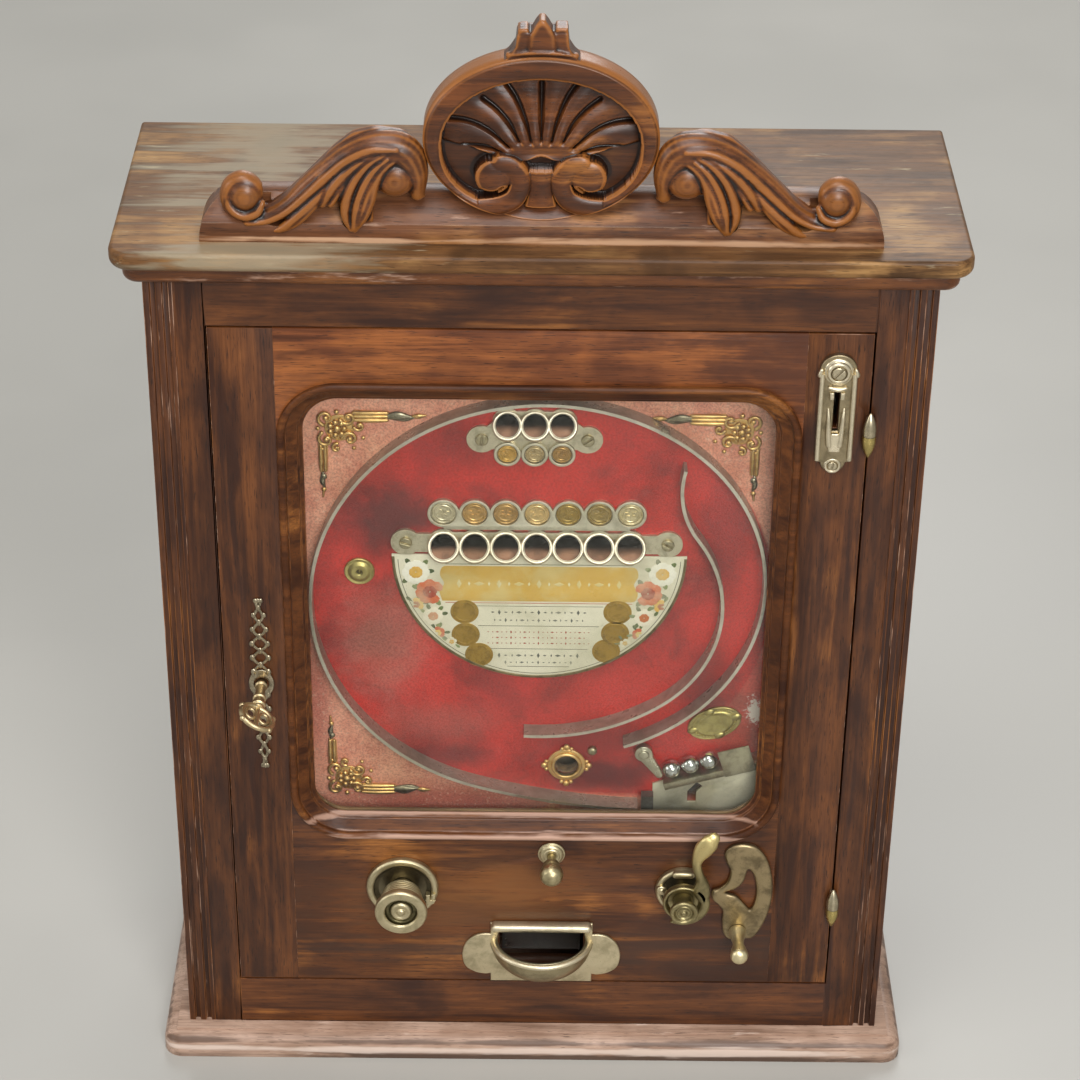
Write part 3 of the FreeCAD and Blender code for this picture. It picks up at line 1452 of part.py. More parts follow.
pieces = {
    "base_board": make_base,
    "case_sides": make_sides,
    "corner_posts": make_posts,
    "face_frame": make_frame,
    "back_panel": make_back,
    "cornice_moulding": make_cornice,
    "lid_board": make_lid,
    "crest_board": make_crest,
    "shell_cartouche": make_shell,
    "scroll_leaves": make_leaves,
    "playfield_battens": make_battens,
    "playfield_board": make_field_board,
    "playfield_facing": make_facing,
    "outer_track": make_outer_track,
    "inner_track": make_inner_track,
    "cup_plate_three": make_cup_three,
    "cup_plate_seven": make_cup_seven,
    "token_strip": make_token_strip,
    "token_strip_small": make_small_strip,
    "prize_tokens": make_tokens,
    "award_plaque": make_plaque,
    "corner_ornaments": make_corners,
    "playfield_fittings": make_fittings,
    "launcher_plate": make_launcher_plate,
    "ball_rail": make_rail,
    "ball_gate": make_gate,
    "steel_balls": make_balls,
    "ball_return_trough": make_return_trough,
    "coin_chute": make_coin_chute,
    "coin_tube": make_tube,
    "coin_slide": make_coin_slide,
    "coin_slide_bed": make_bed,
    "delivery_chute": make_delivery_chute,
    "cash_box": make_cash_box,
    "lock_keeper": make_keeper,
    "hinge_case_leaves": lambda: make_hinges("case"),
    "hinge_door_leaves": lambda: make_hinges("door"),
    "door_stiles": make_door_stiles,
    "door_top_rail": make_door_top,
    "door_apron": make_apron,
    "window_moulding": make_moulding,
    "window_glass": make_glass,
    "glazing_bead": make_glazing,
    "lock_case": make_lock_case,
    "lock_bolt": make_bolt,
    "door_key": make_key,
    "lock_escutcheon": make_escutcheon,
    "coin_entry_plate": make_coin_plate,
    "control_flanges": make_flanges,
    "payout_knob": make_knob,
    "payout_crank": make_crank,
    "payout_tray": make_tray,
    "ball_push_knob": make_push,
    "thumb_lever": make_lever,
    "hammer": make_hammer,
    "lever_spring": make_spring,
    "finger_plate": make_finger_plate,
    "finger_peg": make_peg,
    "door_screws": make_door_screws,
    "playfield_screws": make_field_screws,
}

for name, make in pieces.items():
    save(name, make())
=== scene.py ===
from contextlib import contextmanager
from math import copysign, cos, hypot, pi, radians, sin

import bmesh
import bpy
import numpy as np
from mathutils import Matrix, Vector


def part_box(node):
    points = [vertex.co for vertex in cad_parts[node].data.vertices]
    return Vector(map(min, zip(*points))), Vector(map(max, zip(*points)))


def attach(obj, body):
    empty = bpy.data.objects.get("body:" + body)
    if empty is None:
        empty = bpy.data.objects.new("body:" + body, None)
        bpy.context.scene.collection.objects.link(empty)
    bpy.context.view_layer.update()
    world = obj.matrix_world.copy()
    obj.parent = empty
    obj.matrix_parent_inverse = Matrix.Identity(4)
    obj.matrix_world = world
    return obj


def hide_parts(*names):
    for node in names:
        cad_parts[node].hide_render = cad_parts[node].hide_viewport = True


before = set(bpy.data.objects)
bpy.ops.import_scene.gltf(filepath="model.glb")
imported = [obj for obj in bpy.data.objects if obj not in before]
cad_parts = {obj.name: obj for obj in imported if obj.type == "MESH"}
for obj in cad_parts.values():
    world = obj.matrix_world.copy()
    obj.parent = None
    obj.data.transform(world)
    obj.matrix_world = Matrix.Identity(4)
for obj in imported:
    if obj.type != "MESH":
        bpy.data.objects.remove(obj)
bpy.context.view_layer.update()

bl_info = {"name": "Coin-operated pin game", "version": (1, 0, 0), "blender": (4, 5, 0),
    "location": "View3D > Sidebar > Pin game",
    "description": "Dresses the walnut wall game: boards, carving, playfield, metalwork and studio",
    "category": "Object",}

MM = 0.001

# Pieces are drawn in millimetres from the middle of the case's front face, at the top of the base board.
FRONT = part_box("face_frame")[0].y
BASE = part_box("face_frame")[0].z


def spot(x, y, z):
    """Point of the case in metres."""
    return Vector((x * MM, FRONT + y * MM, BASE + z * MM))


def reach(node):
    """Lowest and highest corner of a frame node, in the case's millimetres."""
    low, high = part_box(node)
    shift = Vector((0, FRONT, BASE))
    return (low - shift) / MM, (high - shift) / MM


def linear(paint):
    """Linear values of an sRGB hex colour; a setting's colour or a node's socket stays what it is."""
    if isinstance(paint, bpy.types.NodeSocket):
        return paint
    if not isinstance(paint, str):
        return tuple(paint)
    parts = [int(paint[i:i + 2], 16) / 255 for i in (1, 3, 5)]
    return tuple(c / 12.92 if c <= 0.04045 else ((c + 0.055) / 1.055) ** 2.4 for c in parts) + (1.0,)


def colour(text, code, name):
    return bpy.props.FloatVectorProperty(name=name, description=text, default=linear(code), size=4,
        subtype="COLOR", min=0, max=1)


def length(name, text, default):
    return bpy.props.FloatProperty(name=name, description=text, default=default * MM, unit="LENGTH",
        precision=5)


class WoodSettings(bpy.types.PropertyGroup):
    """Sizes and colours of the walnut"""
    arris: length("Arris", "Width of the rubbed edge of a board", 0.9)
    figure: length("Figure", "Width of the grain's dark and light bands", 9.0)
    fibre: length("Fibre", "Width of a bundle of fibres", 1.3)
    pore: length("Pore", "Width of an open pore, drawn wider than it is so that it shows", 0.55)
    deep: colour("Walnut in the dark bands", "#301507", "Dark walnut")
    warm: colour("Walnut between the bands", "#6A3C1A", "Walnut")
    light: colour("Walnut where the figure is light", "#9C622E", "Light walnut")
    worn: colour("Wood whose polish is rubbed off", "#B08C76", "Worn walnut")
    # Colours of the carving: dark wax with painted shade in its hollows, and rubbed wood with painted
    # highlight on its tops.
    carved_wax_and_shade: colour("Wax in the hollows of the carving", "#1C0E08", "Carving, hollows")
    carved_rub_and_highlight: colour("Rubbed tops of the carving", "#A4662E", "Carving, tops")
    pine: colour("Old pine inside the case", "#A58460", "Pine")


class MetalSettings(bpy.types.PropertyGroup):
    """Colours of the metalwork"""
    nickel: colour("Nickel plate rubbed by hands", "#C6B996", "Nickel")
    nickel_dark: colour("Grime on nickel plate", "#3D392B", "Nickel, grime")
    brass: colour("Brass rubbed bright by hands", "#E4D6AC", "Brass")
    gilt: colour("Gilt brass", "#E0B878", "Gilt")
    steel: colour("Rubbed front edge of the steel strip", "#D9D2C4", "Steel")
    ball: colour("Polished steel balls", "#C9C9C6", "Ball")


class FieldSettings(bpy.types.PropertyGroup):
    """Sizes and colours of the playfield"""
    grain: length("Paper grain", "Size of the embossed paper's leather grain", 1.5)
    red: colour("Paper inside the track", "#C82E27", "Red paper")
    dark: colour("Paper in the shade and under old dust", "#702022", "Dark paper")
    faded: colour("Paper faded by light outside the track", "#F2AC90", "Faded paper")
    cream: colour("Enamel of the award plaque", "#E4DCC6", "Plaque")
    yellow: colour("Band along the top of the plaque", "#D3A94F", "Plaque band")


class CarvingSettings(bpy.types.PropertyGroup):
    """Sizes of the carved crest"""
    voxel: length("Cut size", "Smallest cut that the carving keeps", 0.8)
    groove: length("Groove", "Half the width of a groove in the shell", 1.6)


class StudioSettings(bpy.types.PropertyGroup):
    """Camera, floor and lamps"""
    lens: bpy.props.FloatProperty(name="Lens", description="Focal length on a 36 mm frame", default=101.38)
    place: bpy.props.FloatVectorProperty(name="Camera place", description="Where the camera stands",
        subtype="XYZ", unit="LENGTH", default=(-0.00612, -1.70698, 1.43710))
    down: bpy.props.FloatProperty(name="Down", description="How far the camera looks down", subtype="ANGLE",
        default=radians(32.016))
    side: bpy.props.FloatProperty(name="Side", description="How far the camera turns right", subtype="ANGLE",
        default=radians(0.254))
    roll: bpy.props.FloatProperty(name="Roll", description="How far the camera leans", subtype="ANGLE",
        default=radians(0.710))
    floor: colour("Painted floor", "#B2AFA9", "Floor")


def wood():
    return bpy.context.scene.pin_game_wood


def metal():
    return bpy.context.scene.pin_game_metal


def field():
    return bpy.context.scene.pin_game_field


# Materials

def add(tree, kind, sockets=None, out=0, prefix="ShaderNode", **settings):
    """Adds a node and gives one of its outputs; a value that is a socket is linked, and any other is set."""
    made = tree.nodes.new(prefix + kind)
    for key, value in settings.items():
        setattr(made, key, value)
    for key, value in (sockets or {}).items():
        if isinstance(value, bpy.types.NodeSocket):
            tree.links.new(value, made.inputs[key])
        else:
            made.inputs[key].default_value = value
    return made if out is None else made.outputs[out]


def blank(name):
    """Empty material, its tree and its shader, linked to the output."""
    made = bpy.data.materials.new(name)
    made.use_nodes = True
    tree = made.node_tree
    tree.nodes.clear()
    shader = add(tree, "BsdfPrincipled", out=None)
    add(tree, "OutputMaterial", {"Surface": shader.outputs[0]}, out=None)
    return made, tree, shader


def grain(tree, sizes, detail=3.0, rough=0.5, twist=0.0, shift=(0, 0, 0)):
    """Cloudy pattern with steps of the given millimetres along X, Y and Z."""
    place = add(tree, "TexCoord", out="Object")
    scale = [1000 / s for s in sizes]
    steps = add(tree, "Mapping", {"Vector": place, "Location": shift, "Scale": scale})
    return add(tree, "TexNoise", {"Vector": steps, "Scale": 1.0, "Detail": detail, "Roughness": rough,
        "Distortion": twist})


def along(axis, across, length_mm):
    """Three step sizes: long along the grain's axis and short across it."""
    return [length_mm if a == axis else across for a in "XYZ"]


def coat(tree, under, value, low, high, share, paint):
    """A coat of colour laid over another where a value goes from low to high."""
    mask = add(tree, "MapRange", {0: value, 1: low, 2: high, 3: 0.0, 4: share},
        interpolation_type="SMOOTHSTEP")
    return add(tree, "Mix", {0: mask, 6: linear(under), 7: linear(paint)}, 2, data_type="RGBA")


def surface(tree, shader, shade, rough, height, depth, strength=0.35):
    """Links a colour, a roughness and a relief of some millimetres to a shader."""
    bump = add(tree, "Bump", {"Height": height, "Strength": strength, "Distance": depth * MM})
    tree.links.new(shade, shader.inputs["Base Color"])
    tree.links.new(rough, shader.inputs["Roughness"])
    tree.links.new(bump, shader.inputs["Normal"])


def darker(paint, share):
    """A share of a colour's light."""
    return tuple(c * share for c in linear(paint)[:3]) + (1.0,)


def distance_from(tree, x, z, half_x, half_z):
    """How far a point is from (x, z) in the case's front, counted in half widths and half heights."""
    place = add(tree, "TexCoord", out="Object")
    size = (1000 / half_x, 0, 1000 / half_z)
    middle = (-x / half_x, 0, -(z + BASE / MM) / half_z)
    steps = add(tree, "Mapping", {"Vector": place, "Location": middle, "Scale": size})
    return add(tree, "VectorMath", {0: steps}, "Value", operation="LENGTH")


def patched(tree, shade, patches, outside, inside, figure=None, ragged=0.0):
    """Coats on (x, z, half width, half height, share, colour) patches, whose edges may follow a figure."""
    for x, z, half_x, half_z, share, paint in patches:
        edge = distance_from(tree, x, z, half_x, half_z)
        if figure is not None:
            edge = add(tree, "Math", {0: figure, 1: ragged, 2: edge}, operation="MULTIPLY_ADD")
        shade = coat(tree, shade, edge, outside, inside, share, paint)
    return shade


def walnut(name, axis="Z", deep=None, warm=None, light=None, tone=0.5, glow=0.35, wear=0.0, gloss=0.36,
        seed=0.0, worn=None, blotch=1.0, hollows=False, patches=(), shine=0.36):
    """Waxed walnut: sawn and planed boards whose open pores hold dark wax, with a soft sheen.

    tone moves the figure to the dark side, glow is the share of light wood, and wear the share rubbed bare.
    patches are (x, z, half width, half height, share, colour) places of darker or worn wood, and of painted
    highlight.
    """
    w = wood()
    deep, warm, light = deep or w.deep, warm or w.warm, light or w.light
    made, tree, shader = blank(name)
    shift = (seed, seed * 1.7, seed * 0.6)
    wander = grain(tree, along(axis, 30, 85), 4, 0.6, 0.5, shift)
    figure = grain(tree, along(axis, w.figure / MM, 150), 5, 0.55, 1.1, shift)
    figure = add(tree, "Mix", {0: 0.5, 2: figure, 3: wander})
    fibre = grain(tree, along(axis, w.fibre / MM, 38), 3, 0.6, shift=shift)
    pores = grain(tree, along(axis, w.pore / MM, 9), 1, shift=shift)
    cloud = grain(tree, (95, 95, 80), 3, 0.6, 0.4, shift)
    shade = coat(tree, deep, figure, tone - 0.17, tone + 0.12, 1.0, warm)
    lit = add(tree, "Math", {0: cloud, 1: figure}, operation="MULTIPLY")
    shade = coat(tree, shade, lit, 0.34 - 0.16 * glow, 0.5 - 0.16 * glow, 1.0, light)
    shade = coat(tree, shade, fibre, 0.62, 0.3, 0.42, deep)
    shade = coat(tree, shade, cloud, 0.44, 0.3, 0.7 * blotch, deep)
    shade = coat(tree, shade, pores, 0.36, 0.29, 0.75, darker(deep, 0.35))
    rough = add(tree, "MapRange", {0: fibre, 1: 0.25, 2: 0.75, 3: gloss - 0.05, 4: gloss + 0.14})
    if wear:
        rub = grain(tree, along(axis, 7, 42), 4, 0.65, shift=shift)
        low, high = 0.74 - 0.42 * wear, 0.86 - 0.36 * wear
        shade = coat(tree, shade, rub, low, high, 0.85, worn or w.worn)
        bare = add(tree, "MapRange", {0: rub, 1: low, 2: high, 3: 0.0, 4: 0.16})
        rough = add(tree, "Math", {0: rough, 1: bare}, operation="ADD")
    if hollows:
        # Hollows of the carving take dark wax and painted shade, and its tops take rubbed wood and painted
        # highlight.
        hollow = add(tree, "Attribute", out="Fac", attribute_name="hollow")
        shade = coat(tree, shade, hollow, 0.53, 0.76, 1.0, w.carved_wax_and_shade)
        shade = coat(tree, shade, hollow, 0.48, 0.28, 0.6, w.carved_rub_and_highlight)
    shade = patched(tree, shade, patches, 4.2, 3.2, figure, 6.0)
    pits = add(tree, "MapRange", {0: pores, 1: 0.36, 2: 0.29, 3: 0.0, 4: -1.0})
    height = add(tree, "Math", {0: fibre, 1: 0.35, 2: pits}, operation="MULTIPLY_ADD")
    surface(tree, shader, shade, rough, height, 0.12)
    shader.inputs["Specular IOR Level"].default_value = shine
    shader.inputs["Coat Weight"].default_value = shine * 0.25
    shader.inputs["Coat Roughness"].default_value = 0.24
    return made


def pine(name, axis="Z"):
    """Sawn pine, left bare inside the case: soft brown with darker late wood, dull."""
    made, tree, shader = blank(name)
    figure = grain(tree, along(axis, 6, 160), 4, 0.5, 0.6)
    saw = grain(tree, along(axis, 1.1, 14), 3)
    base = wood().pine
    shade = coat(tree, darker(base, 0.45), figure, 0.4, 0.62, 1.0, base)
    shade = coat(tree, shade, saw, 0.6, 0.35, 0.35, "#4A3524")
    rough = add(tree, "MapRange", {0: saw, 1: 0.3, 2: 0.7, 3: 0.62, 4: 0.8})
    surface(tree, shader, shade, rough, saw, 0.15, 0.5)
    return made


def tinted(tree):
    """The colour that each repeated piece was given."""
    return add(tree, "Attribute", out="Color", attribute_name="tint")


def plated(name, base, grime, rough, share, size, pits, brushed=None, spots=(), metallic=1.0):
    """Worn plate or bare metal: cast or rolled, then polished, with grime in specks and duller clouds.

    size is the clouds' size in millimetres, and brushed the axis of fine polishing lines, if they show.
    spots are (x, z, half width, half height, share, colour) places of rubbed or dulled metal, and of painted
    shadow.
    """
    made, tree, shader = blank(name)
    cloud = grain(tree, (size, size, size), 4, 0.62, 0.3)
    specks = grain(tree, (0.9, 0.9, 0.9), 2, 0.6)
    lines = grain(tree, along(brushed, 0.35, 16) if brushed else (0.5, 0.5, 0.5), 2)
    hollow = add(tree, "Attribute", out="Fac", attribute_name="hollow")
    shade = coat(tree, base or tinted(tree), cloud, 0.42, 0.7, share, grime)
    shade = patched(tree, shade, spots, 1.1, 0.45)
    shade = coat(tree, shade, specks, 0.62, 0.72, pits, grime)
    shade = coat(tree, shade, hollow, 0.56, 0.9, 0.85, grime)
    height = add(tree, "Mix", {0: 0.3, 2: cloud, 3: lines})
    gloss = add(tree, "MapRange", {0: cloud, 1: 0.3, 2: 0.7, 3: rough - 0.06, 4: rough + 0.16})
    surface(tree, shader, shade, gloss, height, 0.08, 0.18)
    shader.inputs["Metallic"].default_value = metallic
    return made


def enamel(name, base, wear, share=0.35):
    """Fired or printed enamel on sheet metal: smooth and even, yellowed in clouds, with fine dark specks."""
    made, tree, shader = blank(name)
    cloud = grain(tree, (26, 26, 26), 4, 0.6)
    specks = grain(tree, (0.8, 0.8, 0.8), 2, 0.6)
    shade = coat(tree, base or tinted(tree), cloud, 0.42, 0.68, share, wear)
    shade = coat(tree, shade, specks, 0.64, 0.72, 0.4, darker(wear, 0.4))
    gloss = add(tree, "MapRange", {0: cloud, 1: 0.3, 2: 0.7, 3: 0.26, 4: 0.44})
    surface(tree, shader, shade, gloss, cloud, 0.05, 0.3)
    return made


# Mesh helpers

WELD = 0.02
FLAT = radians(1.2)
SHARP = radians(40)


def stood(name, data):
    """New object in the scene."""
    made = bpy.data.objects.new(name, data)
    bpy.context.scene.collection.objects.link(made)
    return made


def placed(name, points, faces, materials, marks=None):
    """New object from points in the case's millimetres; marks gives each face's material."""
    mesh = bpy.data.meshes.new(name)
    mesh.from_pydata([spot(*p) for p in points], [], faces)
    for item in materials:
        mesh.materials.append(item)
    if marks is not None:
        mesh.polygons.foreach_set("material_index", marks)
    mesh.polygons.foreach_set("use_smooth", [True] * len(mesh.polygons))
    mesh.update()
    return stood(name, mesh)


def evaluated(piece):
    """New mesh of what a curve or a piece's modifiers give."""
    bpy.context.view_layer.update()
    return bpy.data.meshes.new_from_object(piece.evaluated_get(bpy.context.evaluated_depsgraph_get()))


def baked(piece):
    """Replaces a piece's mesh by what its modifiers give, and removes them."""
    mesh = evaluated(piece)
    piece.modifiers.clear()
    piece.data = mesh


@contextmanager
def opened(mesh):
    """A mesh opened for cuts and joins, and written back after them."""
    work = bmesh.new()
    work.from_mesh(mesh)
    yield work
    work.to_mesh(mesh)
    work.free()


def worked(piece, body, slot, *nodes):
    """Hangs a finished piece on the body it rides on and hides the nodes it stands for; slot, its finish, is
    not used.
    """
    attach(piece, body)
    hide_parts(*nodes)


def shade_flat_over(mesh, degrees):
    """Smooth shading, with hard edges where faces meet at more than an angle."""
    mesh.polygons.foreach_set("use_smooth", [True] * len(mesh.polygons))
    with opened(mesh) as work:
        for edge in work.edges:
            edge.smooth = len(edge.link_faces) == 2 and edge.calc_face_angle(0) < radians(degrees)


def softened(node, name, materials, arris, segments=2):
    """Copy of a frame node with its sharp edges rubbed round, in the last of the materials."""
    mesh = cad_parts[node].data.copy()
    mesh.name = name
    with opened(mesh) as work:
        bmesh.ops.remove_doubles(work, verts=work.verts, dist=WELD * MM)
        bmesh.ops.dissolve_limit(work, angle_limit=FLAT, verts=work.verts, edges=work.edges,
            delimit={"NORMAL"})
    mesh.materials.clear()
    for item in materials:
        mesh.materials.append(item)
    mesh.polygons.foreach_set("material_index", [0] * len(mesh.polygons))
    made = stood(name, mesh)
    if arris:
        bevel = made.modifiers.new("arris", "BEVEL")
        bevel.width = arris * MM
        bevel.segments = segments
        bevel.angle_limit = SHARP
        bevel.use_clamp_overlap = True
        bevel.harden_normals = False
        bevel.material = len(materials) - 1
        baked(made)
    shade_flat_over(made.data, 35)
    return made


def marked(piece, rule):
    """Gives each face the number of its material, by a rule for the face and its middle in mm."""
    piece.data.polygons.foreach_set("material_index", [int(rule(face, (face.center - spot(0, 0, 0)) / MM))
        for face in piece.data.polygons])


def recut(node, stuff, looks, arris, body, slot, segments=2):
    """Finished piece with a frame node's own shape."""
    worked(softened(node, node + "." + stuff, looks, arris, segments), body, slot, node)


def flowing(points, steps):
    """Smooth line through rows of numbers, as Catmull-Rom spans."""
    rows = np.array(points, float)
    rows = np.vstack([2 * rows[0] - rows[1], rows, 2 * rows[-1] - rows[-2]])
    out = []
    for i in range(1, len(rows) - 2):
        a, b, c, d = rows[i - 1:i + 3]
        for t in np.linspace(0, 1, steps, endpoint=False):
            out.append(0.5 * ((2 * b) + (c - a) * t + (2 * a - 5 * b + 4 * c - d) * t * t
                + (3 * b - a - 3 * c + d) * t ** 3))
    out.append(rows[-2])
    return np.array(out)


def strand(points, steps=7, sides=14, flat=2.0):
    """Closed roll along (x, y, z, half width, half depth) points; flat above 2 squares its section."""
    rows = flowing(points, steps)
    middle, sizes = rows[:, :3], np.maximum(rows[:, 3:], 0.05)
    heading = np.gradient(middle, axis=0)
    heading /= np.linalg.norm(heading, axis=1)[:, None]
    wide = np.cross(heading, [0, 1, 0])
    wide /= np.maximum(np.linalg.norm(wide, axis=1), 1e-6)[:, None]
    deep = np.cross(wide, heading)
    caps = [(1.0, 0.1), (0.87, 0.5), (0.5, 0.87)]
    rings = []
    for out, size in reversed(caps):
        rings.append((middle[0] - heading[0] * sizes[0, 0] * out, wide[0], deep[0], sizes[0] * size))
    rings.reverse()
    rings += [(middle[i], wide[i], deep[i], sizes[i]) for i in range(len(rows))]
    for out, size in reversed(caps):
        rings.append((middle[-1] + heading[-1] * sizes[-1, 0] * out, wide[-1], deep[-1], sizes[-1] * size))
    turns = np.arange(sides) * 2 * np.pi / sides
    c, s = np.cos(turns), np.sin(turns)
    c = np.sign(c) * np.abs(c) ** (2 / flat)
    s = np.sign(s) * np.abs(s) ** (2 / flat)
    verts = []
    for m, w, d, size in rings:
        verts += [tuple(m + w * size[0] * c[k] + d * size[1] * s[k]) for k in range(sides)]
    faces = []
    for r in range(len(rings) - 1):
        for k in range(sides):
            n = (k + 1) % sides
            faces.append((r * sides + k, r * sides + n, (r + 1) * sides + n, (r + 1) * sides + k))
    last = (len(rings) - 1) * sides
    faces.append(tuple(range(sides - 1, -1, -1)))
    faces.append(tuple(last + k for k in range(sides)))
    return verts, faces


def rounded(points, cut, steps=3):
    """Line with its corners eased; cut is how far from a corner the ease starts."""
    pts = [Vector(p) for p in points]
    out = [pts[0]]
    for before, here, after in zip(pts, pts[1:], pts[2:]):
        a = here + (before - here) * min(0.5, cut / max((before - here).length, 1e-6))
        b = here + (after - here) * min(0.5, cut / max((after - here).length, 1e-6))
        out += [a.lerp(here, t).lerp(here.lerp(b, t), t) for t in [k / steps for k in range(steps + 1)]]
    out.append(pts[-1])
    return [tuple(p) for p in out]


def turned(profile, x, z, sides=64, ease=0.6):
    """Turned piece about a line along Y through (x, z), from (radius, y) points."""
    line = rounded(profile, ease) if ease else list(profile)
    verts, faces, rings = [], [], []
    for r, y in line:
        if r < 1e-4:
            rings.append([len(verts)] * sides)
            verts.append((x, y, z))
        else:
            rings.append(list(range(len(verts), len(verts) + sides)))
            for k in range(sides):
                a = 2 * pi * k / sides
                verts.append((x + r * sin(a), y, z + r * cos(a)))
    for low, high in zip(rings, rings[1:]):
        for k in range(sides):
            n = (k + 1) % sides
            quad = [low[k], low[n], high[n], high[k]]
            quad = [v for i, v in enumerate(quad) if v != quad[i - 1]]
            if len(quad) > 2:
                faces.append(tuple(quad))
    return verts, faces


def slab(outline, y_front, y_back, holes=(), ease=0.5, steps=2):
    """Closed plate of (x, z) outlines, with eased edges front and back."""
    curve = bpy.data.curves.new("slab", "CURVE")
    curve.dimensions = "2D"
    curve.fill_mode = "BOTH"
    ease = min(ease, (y_back - y_front) / 2.2)
    curve.extrude = (y_back - y_front) / 2 - ease
    curve.bevel_depth = ease
    curve.bevel_resolution = steps
    curve.offset = -ease
    for loop in [outline, *holes]:
        spline = curve.splines.new("POLY")
        spline.points.add(len(loop) - 1)
        for point, (x, z) in zip(spline.points, loop):
            point.co = (x, z, 0, 1)
        spline.use_cyclic_u = True
    holder = stood("slab", curve)
    mesh = evaluated(holder)
    work = bmesh.new()
    work.from_mesh(mesh)
    bmesh.ops.remove_doubles(work, verts=work.verts, dist=0.004)
    bmesh.ops.recalc_face_normals(work, faces=work.faces)
    work.verts.index_update()
    middle = (y_front + y_back) / 2
    verts = [(v.co.x, middle - v.co.z, v.co.y) for v in work.verts]
    faces = [tuple(v.index for v in f.verts) for f in work.faces]
    work.free()
    bpy.data.objects.remove(holder)
    return verts, faces


def circle(count):
    """Turns in radians, evenly round a circle."""
    return [2 * pi * k / count for k in range(count)]


def polar(x, z, r, turn):
    """Point at a distance and a turn from (x, z)."""
    return x + r * cos(turn), z + r * sin(turn)


def ring(x, z, r, count, tall=1.0):
    """Round or oval outline."""
    return [(x + r * cos(a), z + r * tall * sin(a)) for a in circle(count)]


def oblong(x0, x1, z0, z1):
    """Outline of an upright rectangle."""
    return [(x0, z0), (x1, z0), (x1, z1), (x0, z1)]


def block(x0, x1, y0, y1, z0, z1):
    verts = [(x, y, z) for x in (x0, x1) for y in (y0, y1) for z in (z0, z1)]
    faces = [(0, 1, 3, 2), (4, 6, 7, 5), (0, 4, 5, 1), (2, 3, 7, 6), (0, 2, 6, 4), (1, 5, 7, 3)]
    return verts, faces


def ball(x, y, z, r, deep=1.0, tall=1.0, sides=24, rows=12):
    turns = [pi * k / rows for k in range(rows + 1)]
    profile = [(r * sin(a), y - r * deep * cos(a)) for a in turns]
    verts, faces = turned(profile, x, z, sides, ease=0)
    return [(vx, vy, z + (vz - z) * tall) for vx, vy, vz in verts], faces


def together(*shapes):
    """One set of points and faces, and which shape each face came from."""
    verts, faces, marks = [], [], []
    for index, (points, loops) in enumerate(shapes):
        start = len(verts)
        verts += list(points)
        faces += [tuple(v + start for v in loop) for loop in loops]
        marks += [index] * len(loops)
    return verts, faces, marks


def turned_round(shape, x, z, degrees):
    """A shape turned about a line along Y."""
    c, s = cos(radians(degrees)), sin(radians(degrees))
    verts, faces = shape[:2]
    return [(x + (px - x) * c + (pz - z) * s, py, z - (px - x) * s + (pz - z) * c)
        for px, py, pz in verts], faces


def mirrored(shape, x):
    verts, faces = shape[:2]
    return [(2 * x - px, py, pz) for px, py, pz in verts], [tuple(reversed(f)) for f in faces]


def mark_hollows(mesh, gain, sunk=0, rounds=3):
    """Stores how hollow the surface is at each point: 0 on a crest, 0.5 where flat and 1 in a groove.

    sunk is the depth in millimetres behind the front at which a forward-facing carved floor counts as a
    groove; it gives deep floors more painted shade.
    """
    count = len(mesh.vertices)
    co = np.empty(count * 3)
    mesh.vertices.foreach_get("co", co)
    co = co.reshape(-1, 3)
    up = np.empty(count * 3)
    mesh.vertices.foreach_get("normal", up)
    up = up.reshape(-1, 3)
    ends = np.empty(len(mesh.edges) * 2, np.int64)
    mesh.edges.foreach_get("vertices", ends)
    a, b = ends.reshape(-1, 2).T
    links = np.maximum(np.bincount(a, minlength=count) + np.bincount(b, minlength=count), 1)

    def around(values):
        total = np.zeros_like(values)
        np.add.at(total, a, values[b])
        np.add.at(total, b, values[a])
        return total / (links if values.ndim == 1 else links[:, None])
    wide = co.copy()
    for _ in range(rounds * 2):
        wide = 0.5 * wide + 0.5 * around(wide)
    size = np.linalg.norm(co[a] - co[b], axis=1).mean()
    hollow = np.einsum("ij,ij->i", wide - co, up) / size
    for _ in range(rounds):
        hollow = 0.5 * hollow + 0.5 * around(hollow)
    hollow = 0.5 + gain * hollow
    if sunk:
        deep = (co[:, 1] - co[:, 1].min()) / (sunk * MM)
        hollow += np.where(up[:, 1] < -0.2, 0.16 * np.clip(deep, 0, 1) ** 2, 0)
    store = mesh.attributes.new("hollow", "FLOAT", "POINT")
    store.data.foreach_set("value", np.clip(hollow, 0, 1).astype(np.float32))


def carved(name, shapes, look, voxel, gain):
    """Solid carved from overlapping shapes: joined at one cut size, eased, with its hollows marked."""
    verts, faces, _ = together(*shapes)
    made = placed(name, verts, faces, [look])
    outward(made.data)
    cut = made.modifiers.new("cut", "REMESH")
    cut.mode = "VOXEL"
    cut.voxel_size = voxel
    cut.use_smooth_shade = True
    ease = made.modifiers.new("ease", "SMOOTH")
    ease.factor = 0.5
    ease.iterations = 3
    baked(made)
    made.data.materials.clear()
    made.data.materials.append(look)
    made.data.polygons.foreach_set("use_smooth", [True] * len(made.data.polygons))
    mark_hollows(made.data, gain)
    return made


def outward(mesh):
    """Turns a closed mesh's faces outwards."""
    with opened(mesh) as work:
        bmesh.ops.recalc_face_normals(work, faces=work.faces)


